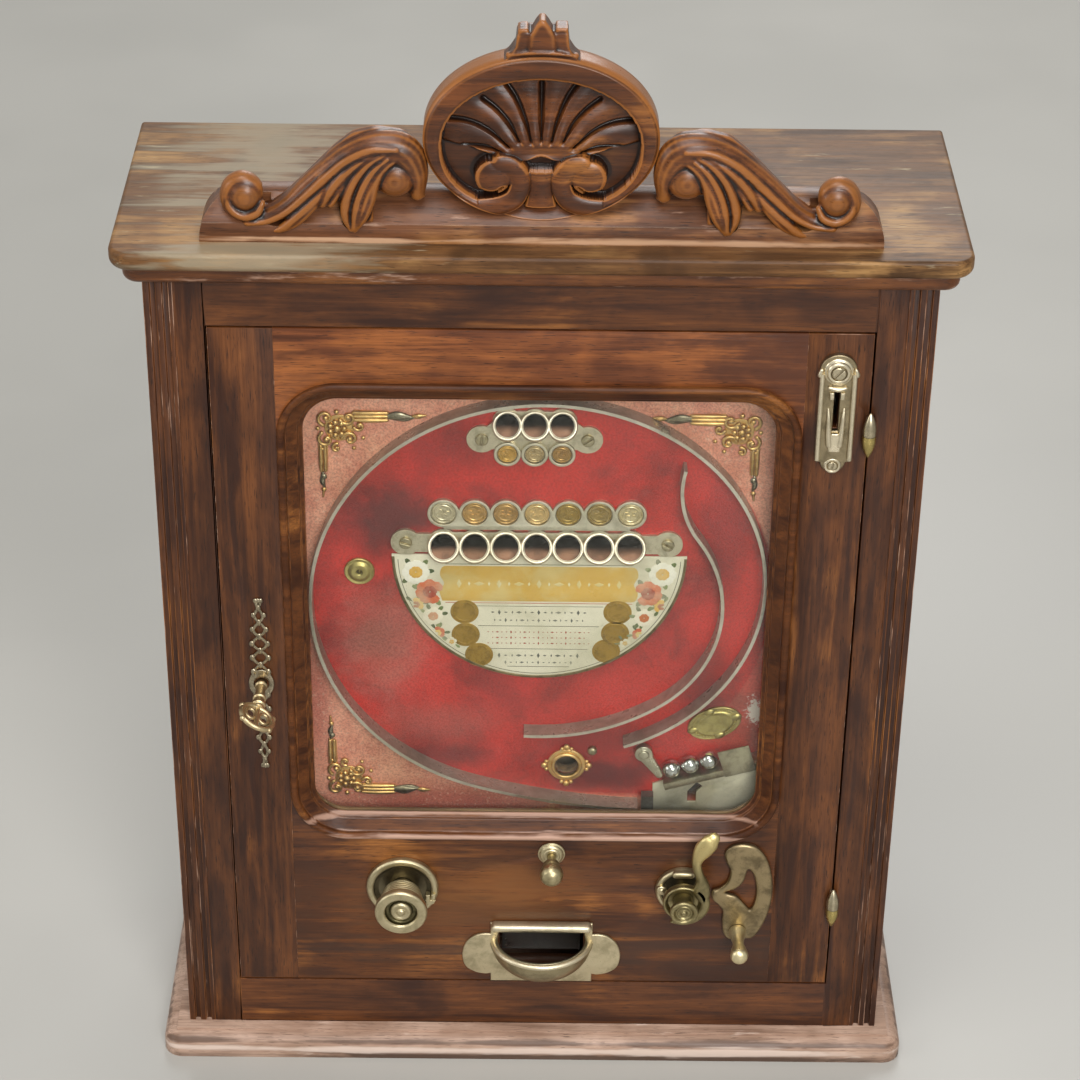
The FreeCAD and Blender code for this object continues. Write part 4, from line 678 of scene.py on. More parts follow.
def fitted(name, parts, materials, hard=35):
    """Piece of overlapping closed parts; each is a shape, or a shape and the number of its material."""
    parts = [part if isinstance(part[1], int) else (part, 0) for part in parts]
    verts, faces, which = together(*[part[0] for part in parts])
    made = placed(name, verts, faces, materials, [parts[index][1] for index in which])
    with opened(made.data) as work:
        bmesh.ops.remove_doubles(work, verts=work.verts, dist=0.001 * MM)
        bmesh.ops.recalc_face_normals(work, faces=work.faces)
    shade_flat_over(made.data, hard)
    return made


def wrought(node, stuff, parts, looks, body, slot, hard=35):
    """Finished piece of overlapping parts in place of a frame node."""
    worked(fitted(node + "." + stuff, parts, looks, hard), body, slot, node)


def merged(first, *others):
    """Adds the meshes and materials of other pieces to the first, and removes them."""
    looks = list(first.data.materials)
    with opened(first.data) as work:
        for other in others:
            start = len(work.faces)
            work.from_mesh(other.data)
            work.faces.ensure_lookup_table()
            looks += [item for item in other.data.materials if item not in looks]
            where = [looks.index(item) for item in other.data.materials]
            for face in work.faces[start:]:
                face.material_index = where[face.material_index]
            bpy.data.objects.remove(other)
    for item in looks[len(first.data.materials):]:
        first.data.materials.append(item)
    return first


def pipe(points, radius, normal=(0, 0, 1), sides=12, closed=True):
    """Round wire along points that lie in one plane, whose normal is given."""
    rows = np.array(points, float)
    upright = np.array(normal, float) / np.linalg.norm(normal)
    heading = np.roll(rows, -1, 0) - np.roll(rows, 1, 0) if closed else np.gradient(rows, axis=0)
    heading /= np.linalg.norm(heading, axis=1)[:, None]
    across = np.cross(heading, upright)
    turns = np.arange(sides) * 2 * np.pi / sides
    verts = [tuple(row + radius * (cos(a) * out + sin(a) * upright)) for row, out in zip(rows, across)
        for a in turns]
    count = len(rows)
    faces = [(r * sides + k, r * sides + (k + 1) % sides, (r + 1) % count * sides + (k + 1) % sides,
        (r + 1) % count * sides + k) for r in range(count if closed else count - 1) for k in range(sides)]
    if not closed:
        faces += [tuple(range(sides - 1, -1, -1)), tuple((count - 1) * sides + k for k in range(sides))]
    return verts, faces


def looped(points, steps=6):
    """Smooth closed outline through points."""
    wrapped = [*points[-2:], *points, *points[:2]]
    return [tuple(p) for p in flowing(wrapped, steps)[2 * steps:(2 + len(points)) * steps]]


def dressed(node, look):
    """Gives a frame node that keeps its shape a better material."""
    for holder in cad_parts[node].material_slots:
        holder.link = "OBJECT"
        holder.material = look


# What repeats

def spread_tree():
    """Geometry Nodes tree that stands one item on every point, turned about the line of sight."""
    tree = bpy.data.node_groups.new("spread", "GeometryNodeTree")
    for name, kind, start in (("Places", "NodeSocketGeometry", None), ("Item", "NodeSocketObject", None),
            ("Size", "NodeSocketFloat", 1.0), ("Turn", "NodeSocketFloat", 0.0), ("Seed", "NodeSocketInt", 7),
            ("Finish", "NodeSocketMaterial", None)):
        socket = tree.interface.new_socket(name, in_out="INPUT", socket_type=kind)
        if start is not None:
            socket.default_value = start
    tree.interface.new_socket("Pieces", in_out="OUTPUT", socket_type="NodeSocketGeometry")
    given = add(tree, "NodeGroupInput", out=None, prefix="").outputs
    item = add(tree, "ObjectInfo", {"Object": given["Item"]}, "Geometry", prefix="GeometryNode")
    size = add(tree, "InputNamedAttribute", {"Name": "size"}, "Attribute", prefix="GeometryNode")
    lean = add(tree, "InputNamedAttribute", {"Name": "lean"}, "Attribute", prefix="GeometryNode")
    chance = add(tree, "RandomValue", {2: -1.0, 3: 1.0, "Seed": given["Seed"]}, 1, prefix="FunctionNode")
    turn = add(tree, "Math", {0: chance, 1: given["Turn"], 2: lean}, operation="MULTIPLY_ADD")
    spin = add(tree, "CombineXYZ", {"Y": turn})
    full = add(tree, "Math", {0: size, 1: given["Size"]}, operation="MULTIPLY")
    stood = add(tree, "InstanceOnPoints", {"Points": given["Places"], "Instance": item, "Rotation": spin,
        "Scale": full}, prefix="GeometryNode")
    real = add(tree, "RealizeInstances", {0: stood}, prefix="GeometryNode")
    done = add(tree, "SetMaterial", {"Geometry": real, "Material": given["Finish"]}, prefix="GeometryNode")
    add(tree, "NodeGroupOutput", {0: done}, None, prefix="")
    return tree


def spread(name, item, places, material, turn=0.0, seed=7):
    """Stands copies of an item, drawn round (0, 0, 0), on places, and gives a plain mesh.

    A place is x, y, z, size, degrees of lean and, where the material reads the piece's tint, a hex colour.
    """
    template = stood(name + ".item", bpy.data.meshes.new(name + ".item"))
    template.data.from_pydata([Vector(p) * MM for p in item[0]], [], item[1])
    template.data.update()
    outward(template.data)
    shade_flat_over(template.data, 40)
    host = placed(name, [p[:3] for p in places], [], [])
    for key, values in (("size", [p[3] for p in places]), ("lean", [radians(p[4]) for p in places])):
        host.data.attributes.new(key, "FLOAT", "POINT").data.foreach_set("value", values)
    tints = [value for p in places for value in linear(p[5] if len(p) > 5 else "#FFFFFF")]
    host.data.attributes.new("tint", "FLOAT_COLOR", "POINT").data.foreach_set("color", tints)
    tree = bpy.data.node_groups.get("spread") or spread_tree()
    modifier = host.modifiers.new("spread", "NODES")
    modifier.node_group = tree
    given = {s.name: s.identifier for s in tree.interface.items_tree if s.in_out == "INPUT"}
    for key, value in (("Item", template), ("Size", 1.0), ("Turn", turn), ("Seed", seed),
            ("Finish", material)):
        modifier[given[key]] = value
    baked(host)
    bpy.data.objects.remove(template)
    return host


def slotted_head():
    """Screw head of 4 mm radius: a low dome in two halves, with a slot between them, on a thin edge."""
    half = [(0.42, -3.7), *[polar(0, 0, 4, radians(a)) for a in range(-66, 67, 12)], (0.42, 3.7)]
    right = slab(half, -2.0, -0.3, ease=1.1, steps=3)
    edge = turned([(0, -0.9), (3.9, -0.9), (4, -0.7), (4, 0), (0, 0)], 0, 0, 32, ease=0.1)
    return together(right, mirrored(right, 0), edge)[:2]


# Crest

SHELL_GROOVES = [[(0, 672), (0, 690), (0, 706)], [(6, 671), (9.5, 684), (16, 699), (27, 713)],
    [(13, 671), (19, 682), (26, 690), (34, 696)], [(19, 667), (31, 677), (43, 682), (58, 683)],
    [(24, 664), (34, 666.5), (46, 666)]]
SCROLL_BAND = [(64, 646), (56, 637), (46, 632), (34, 630.5), (24, 631.5), (16, 635.5), (12.5, 643),
    (13, 651), (18, 656.5), (24, 657.5)]
SCROLL_GAP = [(45, 643.5), (39, 641), (33, 639.2), (27, 640), (22.5, 643.5)]


def near(x, z, line):
    """Distance of many points to a line, and how far along it each nearest place is, from 0 to 1."""
    rows = flowing(line, 6)
    run = np.concatenate([[0], np.cumsum(np.linalg.norm(np.diff(rows, axis=0), axis=1))])
    best, place = np.full(x.shape, 1e9), np.zeros(x.shape)
    for i in range(len(rows) - 1):
        a, d = rows[i], rows[i + 1] - rows[i]
        t = np.clip(((x - a[0]) * d[0] + (z - a[1]) * d[1]) / (d @ d), 0, 1)
        far = np.hypot(x - a[0] - t * d[0], z - a[1] - t * d[1])
        place = np.where(far < best, (run[i] + t * (run[i + 1] - run[i])) / run[-1], place)
        best = np.minimum(best, far)
    return best, place


def eased(value, low, high):
    """0 below low, 1 above high, and a smooth step between them."""
    t = np.clip((value - low) / (high - low), 0, 1)
    return t * t * (3 - 2 * t)


def to_oval(dx, dz, half_x, half_z, rise):
    """How many times a step from the pole fits before an oval, whose middle is rise above the pole."""
    a = (dx / half_x) ** 2 + (dz / half_z) ** 2
    b = -2 * dz * rise / half_z ** 2
    c = (rise / half_z) ** 2 - 1
    return (-b + np.sqrt(np.maximum(b * b - 4 * a * c, 0))) / (2 * a)


def squared(dx, dz, half_x, half_z, power):
    """How far out a step is in an oval whose lower half is squared; 1 is on it."""
    power = np.where(dz < 0, power, 2.0)
    return (np.abs(dx / half_x) ** power + np.abs(dz / half_z) ** power) ** (1 / power)


def shell_front(u, z):
    """Depth of the shell's carved front behind its rim; u is the distance from its middle line."""
    groove = bpy.context.scene.pin_game_carving.groove / MM
    rim = squared(u, z - 670.6, 58.7, 41.5, 2.4)
    outer = squared(u, z - 674, 69.5, 52, 2.0)
    share = 1 / np.maximum(to_oval(u + 1e-6, z - 660, 58.7, 41.5, 10.6), 1e-6)
    fan = 3 + 8.5 * np.clip(share, 0, 1) ** 1.3 + 2.4 * np.exp(-np.hypot(u / 13, (z - 664) / 4.5) ** 2)
    for line in SHELL_GROOVES:
        far, place = near(u, z, line)
        wide = groove * (0.5 + 0.8 * eased(place, 0, 0.45))
        fan += 3.4 * np.clip(1 - far / wide, 0, 1) ** 0.7 + 1.6 * np.exp(-(far / (2.3 * wide)) ** 2)
    low = 657.2 + 8.5 * (u / 45) ** 1.5 + 3.6 * np.exp(-(u / 7.5) ** 2)
    cut = eased(z, low - 0.3, low + 1.1)
    fan = fan * cut + 12.8 * (1 - cut)
    far, place = near(u, z, SCROLL_BAND)
    wide = 4.6 + 1.6 * eased(place, 0.2, 0.6)
    band = np.where(far < wide, 0.5 + 2.4 * (1 - np.sqrt(np.clip(1 - (far / wide) ** 2, 0, 1))), 20)
    far = np.hypot(u - 28.3, z - 649.6)
    eye = np.where(far < 10.8, 0.1 + 3.0 * (1 - np.sqrt(np.clip(1 - (far / 10.8) ** 2, 0, 1))), 20)
    waist = 7.4 + 2.4 * ((z - 641) / 12) ** 2
    bar = np.where((u < waist) & (z > 630) & (z < 653.4), 2.2 + 2.2 * (u / waist) ** 2, 20)
    face = np.where((rim > 1) & (z > 628.4), 1.2 * np.exp(-((rim - 1) / 0.035) ** 2) + 2.2 * eased(outer,
        0.95, 1.0) ** 2, 20)
    face = np.where((u < 37) & (z < 642), 20, face)
    raised = np.minimum(np.minimum(band, eye), np.minimum(bar, face))
    far, place = near(u, z, SCROLL_GAP)
    wide = 2.5 - 1.7 * eased(place, 0.3, 1)
    raised = np.where(far < wide, np.maximum(raised, 10.5 - 3 * (far / wide) ** 2), raised)
    under = 1.0 + np.clip(z - 620.5, 0, 9) * 0.93
    return np.minimum(raised, np.where(z > 629.5, fan, under))


def shell_shape(angles=576, rings=112):
    """Shell as a grid round the root of its fan, carved in front and flat behind."""
    low, high = reach("shell_cartouche")
    pole_x, pole_z, half_x, half_z = (low.x + high.x) / 2, 660.0, (high.x - low.x) / 2, 52.0
    turn = np.arange(angles) * 2 * np.pi / angles
    dx, dz = np.sin(turn), np.cos(turn)
    edge = to_oval(dx, dz, half_x, half_z, low.z + half_z - pole_z)
    share = np.concatenate([np.linspace(0, 0.74, int(rings * 0.6), endpoint=False)[1:],
        np.linspace(0.74, 1, rings - int(rings * 0.6) + 1)])
    x, z = np.outer(share, edge * dx), pole_z + np.outer(share, edge * dz)
    y = shell_front(np.abs(x), z)
    points = [(pole_x, float(shell_front(np.array([0.01]), np.array([pole_z]))[0]), pole_z)]
    points += list(zip((pole_x + x).ravel(), y.ravel(), z.ravel()))
    front = len(share)
    last = y[-1]
    for back, shrink in ((0.35, 1.0), (0.7, 1.0), (0.93, 1.0), (1.0, 0.985), (1.0, 0.6), (1.0, 0.25)):
        deep = last + (high.y - last) * back
        points += list(zip(pole_x + edge * dx * shrink, deep, pole_z + edge * dz * shrink))
        front += 1
    points.append((pole_x, high.y, pole_z))
    faces = []
    for k in range(angles):
        n = (k + 1) % angles
        faces.append((0, 1 + k, 1 + n))
        for r in range(front - 1):
            a = 1 + r * angles
            faces.append((a + k, a + angles + k, a + angles + n, a + n))
        faces.append((len(points) - 1, 1 + (front - 1) * angles + n, 1 + (front - 1) * angles + k))
    return points, faces


def finial_shapes():
    """Cap with flared shoulders on the shell, and its pointed keystone."""
    cap = slab(rounded([(-27, 720), (-20, 726), (-16.5, 731.5), (-15.8, 739), (-12, 740.5), (14.2, 740.5),
        (14.2, 737), (14.8, 731), (18, 726), (25, 720)], 1.0), 2.4, 20, ease=0.8)
    ledge = strand([(-21, 5, 726.5, 1.3, 3), (-8, 3.4, 728.8, 1.5, 3.2), (6, 3.4, 728.8, 1.5, 3.2),
        (19, 5, 726.5, 1.3, 3)])
    ears = [slab([(-15.2, 740), (-15.2, 742.3), (-9.5, 743), (-8.5, 740)], 2.8, 16, ease=0.6),
        slab([(6.5, 740), (6.5, 743.4), (13.6, 743.4), (13.9, 740)], 2.8, 16, ease=0.6)]
    stone = slab([(-9.3, 727), (-8.5, 739), (-4.6, 746), (-2.4, 748.6), (0.4, 748.6), (3.0, 745), (6.4, 739),
        (7.3, 727)], 1.2, 15, ease=1.6, steps=3)
    return [cap, ledge, *ears, stone]


# Strands of the left leaf, as points of x, y, z, half width and half depth
# Roll: hood, tail and end scroll. Ridges: over hood and tail. Ends: collar of the eye, and hook
LEAF_ROLL = [[(-74, 7, 637, 4.5, 5), (-75, 6, 652, 8, 8.5), (-82, 5.2, 664, 11.5, 9.5),
    (-95, 5.0, 667, 11, 9.5), (-109, 5.4, 663.5, 9.5, 9), (-122, 6, 655, 8.2, 8),
    (-137, 6.6, 642.5, 6.8, 6.8), (-150, 6.2, 630.5, 5.2, 6), (-161, 5.5, 624.2, 4.2, 5.4),
    (-172, 5, 622, 4.2, 5.4), (-181, 5, 625, 5, 6), (-185.5, 5, 633, 5.6, 6.4), (-183.5, 5, 642, 5.8, 6.6),
    (-177, 5, 645.6, 5.6, 6.4), (-171, 4.6, 642.5, 5.2, 6), (-169.5, 4, 637, 4.6, 5.4)]]
LEAF_RIDGES = [[(-86, -2.6, 669, 2.2, 2.2), (-100, -3, 668.6, 2.9, 2.6), (-114, -2, 662, 3.1, 3.2),
    (-127, -0.6, 650.5, 3.1, 3.4), (-139, 0.4, 638.5, 2.9, 3.6), (-151, 1.0, 627.5, 2.7, 3.6),
    (-163, 1.4, 621, 2.5, 3.6), (-175, 1, 619.6, 2.4, 3.6)],
    [(-124, 0.2, 647.5, 1.8, 2.6), (-134, 0, 635.5, 3.2, 3.6), (-145, 0.2, 624.5, 3.3, 3.8),
    (-154, 1.4, 616.2, 2.7, 3.2), (-161, 2.4, 613.6, 1.2, 2)],
    [(-128, 1.2, 640, 1.8, 3), (-137, 0.2, 629.5, 2.8, 3.4), (-146, 0.8, 620, 2.7, 3.2),
    (-156, 2.2, 613.4, 1.4, 2.2)]]
LEAF_LOBE = [[(-97, -2.4, 666.5, 1.8, 2.4), (-109, -2.4, 659.5, 2.8, 3.4), (-119, -1.6, 650, 3.4, 3.8),
    (-126, -0.4, 640, 3.4, 4), (-130, 1, 632.3, 2.6, 3)],
    [(-103, -1.6, 661, 1.8, 2.4), (-113, -1, 651.5, 2.6, 3.4), (-120, -0.2, 641.5, 2.8, 3.6),
    (-125, 0.8, 632, 2, 3)]]
LEAF_BLADES = [[(-93, -2.6, 666, 2, 2.4), (-103, -2.8, 659.5, 2.9, 3.2), (-111, -2.4, 648.5, 3.1, 3.6),
    (-115.5, -1.8, 636, 3.3, 3.8), (-116.5, -1.2, 625, 2.7, 3.4), (-113.5, -0.4, 616, 1.4, 2.2)],
    [(-91, -2.8, 663.5, 1.8, 2.4), (-99.5, -3, 655.5, 2.6, 3.2), (-106, -2.8, 643.5, 2.8, 3.5),
    (-109.8, -2.5, 631, 2.9, 3.6), (-112, -1.4, 617, 1.5, 2.4)],
    [(-90, -2, 660.5, 1.6, 2.2), (-97, -2.6, 653, 2.4, 3), (-102, -2.8, 642.5, 2.7, 3.4),
    (-106, -2.5, 631, 2.8, 3.4), (-110.5, -1.4, 618, 1.8, 2.4)],
    [(-85, -1.6, 663.2, 1.8, 2.4), (-93, -2.2, 657.5, 2.8, 3.2), (-98.5, -2.4, 648, 3.2, 3.6),
    (-101.5, -2.2, 636.5, 3.2, 3.6), (-105.5, -1.6, 625, 2.6, 3.2), (-111, -0.6, 615.4, 1.2, 2)]]
LEAF_ENDS = [[(-76, 0.6, 659.5, 2, 3), (-84, -1.2, 664, 2.4, 3), (-92, -1.6, 661.5, 2.2, 3),
    (-97.5, -1, 653.5, 1.8, 2.6)], [(-186, 2.4, 639, 2.4, 3), (-184.5, 0.8, 629.5, 3, 3.6),
    (-177, 0, 624.2, 3, 3.6), (-169, -0.2, 626.5, 2.8, 3.6), (-165.5, 0.6, 632.5, 1.8, 2.8)]]


def leaf_shapes():
    """Left scroll leaf: rolls and blades over a backing, a ball for its eye and one for its end scroll."""
    backing = rounded([(-69.5, 634), (-69.5, 652), (-73, 668), (-82, 676), (-98, 678.5), (-112, 675),
        (-124, 665), (-140, 648), (-154, 634), (-163, 628), (-168, 630), (-168, 622), (-155, 618),
        (-147, 622), (-138, 634), (-131, 631), (-124, 640), (-121, 628), (-114, 617), (-106, 628),
        (-101, 638), (-88, 637), (-76, 637)], 3)
    shapes = [slab(backing, 5.5, 13.6, ease=1.5, steps=2)]
    shapes += [strand(line, 6) for line in LEAF_ROLL + LEAF_RIDGES + LEAF_LOBE + LEAF_BLADES + LEAF_ENDS]
    shapes.append(ball(-87, 3.2, 649.2, 12.2, deep=0.72, sides=32))
    shapes.append(ball(-176, 4.2, 637, 10.8, deep=0.82, tall=1.05, sides=32))
    shapes.append(slab([(-100, 620), (-118, 622), (-122, 640), (-118, 655), (-100, 662), (-92, 655),
        (-100, 640)], 0, 8, ease=2))
    return shapes


class PIN_OT_crest(bpy.types.Operator):
    """Crest: carved shell with its finial, and two scroll leaves"""
    bl_idname = "pin_game.crest"
    bl_label = "Carved crest"

    def execute(self, context):
        voxel = context.scene.pin_game_carving.voxel
        # The carving's hollows take dark wax and painted shade, and its tops take rubbed wood and painted
        # highlight.
        look = walnut("carved_walnut", "X", tone=0.5, glow=0.5, gloss=0.3, seed=21.0, hollows=True,
            blotch=0.7, deep="#34190A", warm="#6E3C19", light="#A0662F")
        points, faces = shell_shape()
        shell = placed("shell_cartouche.carving", points, faces, [look])
        outward(shell.data)
        # Deep floors of the shell's fan take more painted shade.
        mark_hollows(shell.data, 0.9, sunk=12)
        finial = carved("finial", finial_shapes(), look, voxel, 1.0)
        worked(merged(shell, finial), "case", "carved_walnut", "shell_cartouche")
        leaves = carved("scroll_leaves.carving", leaf_shapes(), look, voxel, 1.6)
        other = stood("right_leaf", leaves.data.copy())
        for vertex in other.data.vertices:
            vertex.co.x = -0.002 - vertex.co.x
        other.data.flip_normals()
        worked(merged(leaves, other), "case", "carved_walnut", "scroll_leaves")
        return {"FINISHED"}


# Woodwork

def upright_beyond(mesh, limit, mark):
    """Cuts a level board at x = -limit and x = limit, and marks its outer parts as uprights."""
    with opened(mesh) as work:
        for x in (-limit, limit):
            bmesh.ops.bisect_plane(work, geom=work.verts[:] + work.edges[:] + work.faces[:],
                plane_co=spot(x, 0, 0), plane_no=(1, 0, 0))
        for face in work.faces:
            if face.material_index == 0 and abs(face.calc_center_median().x) > limit * MM:
                face.material_index = mark
    shade_flat_over(mesh, 40)


class PIN_OT_case(bpy.types.Operator):
    """Case: base, sides, posts, face frame, cornice, lid and the parts inside"""
    bl_idname = "pin_game.case"
    bl_label = "Case boards"

    def execute(self, context):
        arris = wood().arris / MM
        upright = walnut("waxed_walnut_upright", "Z", tone=0.55, glow=0.12, seed=3.1, blotch=0.7)
        post = walnut("waxed_walnut_post", "Z", tone=0.58, glow=0.12, seed=7.7, wear=0.12, blotch=0.7)
        level = walnut("waxed_walnut_rail", "X", tone=0.52, glow=0.3, seed=5.3)
        rubbed = walnut("rubbed_walnut_arris", "Z", tone=0.46, glow=0.6, wear=0.5, gloss=0.42, seed=1.3)
        foot = -BASE / MM
        # Bands along the base board: a dark line just under its top, a dark band along its foot, and a pale
        # band along the nose that is painted highlight over rubbed wood.
        lines = ((0, -5, 420, 1.8, 0.85, "#5C4436"), (0, foot + 1.5, 420, 4, 0.85, "#463226"),
            (0, foot / 2 - 1.5, 420, 3, 0.8, "#E2CCBE"))
        pale = {"tone": 0.42, "glow": 0.8, "deep": "#6E5240", "patches": lines}
        # The base board's pale wood is rubbed walnut with painted highlight.
        nose = walnut("rubbed_walnut_moulding_painted_highlight", "X", wear=0.3, worn="#E0C8B8", gloss=0.4, seed=9.2,
            warm="#AC8A74", light="#D0B2A0", **pale)
        base = walnut("rubbed_walnut_base_painted_highlight", "X", wear=0.25, worn="#D8C0B0", gloss=0.42, seed=2.9,
            warm="#A48470", light="#C4A490", blotch=0.6, **pale)
        lid = walnut("worn_walnut_lid", "X", deep="#3A2614", warm="#785230", light="#A8804F", tone=0.47,
            glow=0.6, wear=0.3, worn="#B3A588", gloss=0.44, seed=4.4, shine=0.2,
            patches=((-170, 606, 60, 30, 0.6, "#A89A80"), (60, 606, 90, 40, 0.4, "#4A2E1A")))
        lid_edge = walnut("rubbed_walnut_lid_edge", "X", tone=0.45, glow=0.6, wear=0.9, worn="#CDB490",
            gloss=0.4, seed=6.1)
        cornice = walnut("waxed_walnut_cornice", "X", tone=0.48, glow=0.5, wear=0.45, seed=8.8)
        frame_wood = softened("face_frame", "face_frame.wood", [level, rubbed, upright], 0.5)
        upright_beyond(frame_wood.data, 202.8, 2)
        worked(frame_wood, "case", "walnut", "face_frame")
        for node, look, edge, wide in (("base_board", base, nose, 0.5),
                ("case_sides", upright, rubbed, arris), ("corner_posts", post, rubbed, 0.5),
                ("cornice_moulding", cornice, lid_edge, 0.4), ("lid_board", lid, lid_edge, 0.5)):
            recut(node, "wood", [look, edge], wide, "case", "walnut")
        # A pale band along the crest board's lower front edge is painted highlight.
        bar = walnut("waxed_walnut_crest_board", "X", tone=0.46, glow=0.6, wear=0.25, gloss=0.36, seed=11.0,
            deep="#3A2012", warm="#70452A", light="#A87648",
            patches=((0, reach("crest_board")[0].z + 2, 300, 2.2, 0.8, "#CFA684"),))
        recut("crest_board", "wood", [bar, lid_edge], 0.6, "case", "carved_walnut")
        plain = pine("sawn_pine_upright")
        flat = pine("sawn_pine_level", "X")
        for node, look, body in (("back_panel", plain, "case"), ("playfield_battens", plain, "case"),
                ("playfield_board", plain, "case"), ("ball_return_trough", flat, "case"),
                ("cash_box", flat, "cash_box")):
            recut(node, "wood", [look], 0.6, body, "pine")
        return {"FINISHED"}


class PIN_OT_door(bpy.types.Operator):
    """Door: stiles, top rail, apron, window moulding and glazing bead"""
    bl_idname = "pin_game.door"
    bl_label = "Door woodwork"

    def execute(self, context):
        stile = walnut("waxed_walnut_stile", "Z", tone=0.53, glow=0.2, seed=12.5, blotch=0.7)
        top = walnut("waxed_walnut_top_rail", "X", tone=0.44, glow=0.85, seed=14.2, light="#9A5A2C",
            warm="#6E3B1E", patches=((165, 530, 80, 40, 0.7, "#4A2614"),))
        apron = walnut("waxed_walnut_apron", "X", tone=0.5, glow=0.35, seed=16.6,
            patches=((-70, 104, 80, 30, 0.3, "#8A5A32"), (-10, 122, 56, 18, 0.35, "#98602E"),
            (0, 66, 220, 16, 0.5, "#463428"), (95, 70, 90, 50, 0.5, "#3A2014"),
            (-150, 80, 30, 60, 0.5, "#3A2014")))
        # Two pale bands along the bottom of the window moulding, where it faces up, are painted highlight.
        bands = ((0, 164.8, 330, 2.9, 0.85, "#C39D89"), (0, 177.2, 330, 1.9, 0.8, "#B08A76"))
        rim = walnut("waxed_walnut_window_moulding", "X", tone=0.52, glow=0.4, gloss=0.46, seed=17.3,
            shine=0.2, patches=bands)
        lip = walnut("walnut_window_arris_painted_highlight", "X", tone=0.5, glow=0.4, gloss=0.34, seed=19.9,
            patches=bands)
        rubbed = walnut("rubbed_walnut_door_arris", "X", tone=0.45, glow=0.6, wear=0.55, gloss=0.42,
            seed=18.1)
        for node, look, edge, wide in (("door_stiles", stile, rubbed, 0.5),
                ("door_top_rail", top, rubbed, 0.4), ("door_apron", apron, apron, 0.4),
                ("window_moulding", rim, lip, 0.7)):
            recut(node, "wood", [look, edge], wide, "door", "walnut")
        recut("glazing_bead", "wood", [pine("sawn_pine_bead", "X")], 0.4, "door", "pine")
        return {"FINISHED"}


# Playfield

CUP_LEAN = radians(35)
# Middle x and z, number, pitch and radius of the cups; middle x and z, pitch, size and colours of the tokens
CUPS = {"cup_plate_seven": (-0.8, 378.0, 7, 20.0, 8.2), "cup_plate_three": (-2.8, 468.3, 3, 17.3, 7.4)}
TOKENS = [(-0.8, 400.4, 20.0, 0.96, ["#E2D6B8", "#D8AE72", "#CCA46C", "#E8C890", "#B89A5A", "#B89E68",
    "#E8D6AC"]), (-2.8, 444.7, 17.3, 0.74, ["#E0B468", "#CEB68C", "#BA935E"])]

# Places on the paper: x, z, half width, half height, share and colour
# Dust and painted light on the paper: painted shadow under the top of the track, painted shade down the lane
# on the right, a near-black painted shadow at the lower right, darker paper towards the bottom, a redder
# patch in the middle and lighter patches on the left.
DUST_AND_SHADE_ON_PAPER = [(-95, 398, 42, 46, 0.8, "#3E2426"), (-45, 448, 60, 26, 0.4, "#6B1D22"),
    (20, 262, 90, 60, 0.3, "#B8332E"), (40, 222, 66, 26, 0.6, "#7A1C20"), (40, 196, 70, 20, 0.85, "#5A1A1E"),
    (120, 380, 20, 80, 0.5, "#7C2428"), (-60, 208, 60, 14, 0.7, "#5E262A"),
    (110, 268, 30, 50, 0.6, "#6A1E22"), (106, 182, 30, 26, 1.0, "#160E0C"),
    (-100, 300, 44, 66, 0.6, "#BC7468"), (-66, 235, 66, 26, 0.5, "#A65A50")]
UNFADED_PAPER = [(-60, 168, 130, 26, 0.75, "#A63C34"), (-146, 260, 16, 90, 0.6, "#B04A42")]


def red_paper(name):
    """Embossed red paper with a leather grain: faded by light outside the round track; inside it dusty, with
    painted shade and painted shadow.
    """
    f = field()
    made, tree, shader = blank(name)
    pebble = grain(tree, (f.grain / MM,) * 3, 2, 0.5, 0.5)
    cloud = grain(tree, (60, 60, 60), 4, 0.6, 0.5)
    patch = grain(tree, (22, 22, 22), 4, 0.65)
    fleck = grain(tree, (2.6, 2.6, 2.6), 3, 0.7)
    shade = coat(tree, f.red, cloud, 0.44, 0.68, 0.75, f.dark)
    shade = coat(tree, shade, patch, 0.56, 0.74, 0.3, "#C05A52")
    # Dust, painted shade and painted shadow on the paper.
    shade = patched(tree, shade, DUST_AND_SHADE_ON_PAPER, 1.5, 0.7, patch, 1.1)
    outside = distance_from(tree, 3.5, 335.2, 150.7, 150.7)
    pale = coat(tree, f.faded, patch, 0.35, 0.65, 0.6, "#C8705C")
    pale = patched(tree, pale, UNFADED_PAPER, 1.5, 0.7, patch, 1.1)
    pale = coat(tree, pale, fleck, 0.55, 0.7, 0.4, "#EFCDB4")
    edge = add(tree, "MapRange", {0: outside, 1: 0.992, 2: 1.004, 3: 0.0, 4: 1.0})
    keep = distance_from(tree, 122, 232, 66, 66)
    kept = add(tree, "MapRange", {0: keep, 1: 0.9, 2: 1.25, 3: 0.15, 4: 1.0})
    lane = distance_from(tree, 62, 200, 110, 26)
    clear = add(tree, "MapRange", {0: lane, 1: 0.85, 2: 1.05, 3: 0.0, 4: 1.0})
    both = add(tree, "Math", {0: edge, 1: kept}, operation="MULTIPLY")
    both = add(tree, "Math", {0: both, 1: clear}, operation="MULTIPLY")
    shade = add(tree, "Mix", {0: both, 6: shade, 7: pale}, 2, data_type="RGBA")
    shade = coat(tree, shade, pebble, 0.6, 0.34, 0.34, "#4A1216")
    shade = patched(tree, shade, [(146, 246, 9, 16, 0.9, "#E6DCD2")], -0.35, -0.75, fleck, -2.2)
    rough = add(tree, "MapRange", {0: cloud, 1: 0.3, 2: 0.7, 3: 0.3, 4: 0.44})
    surface(tree, shader, shade, rough, pebble, 0.35, 0.5)
    return made


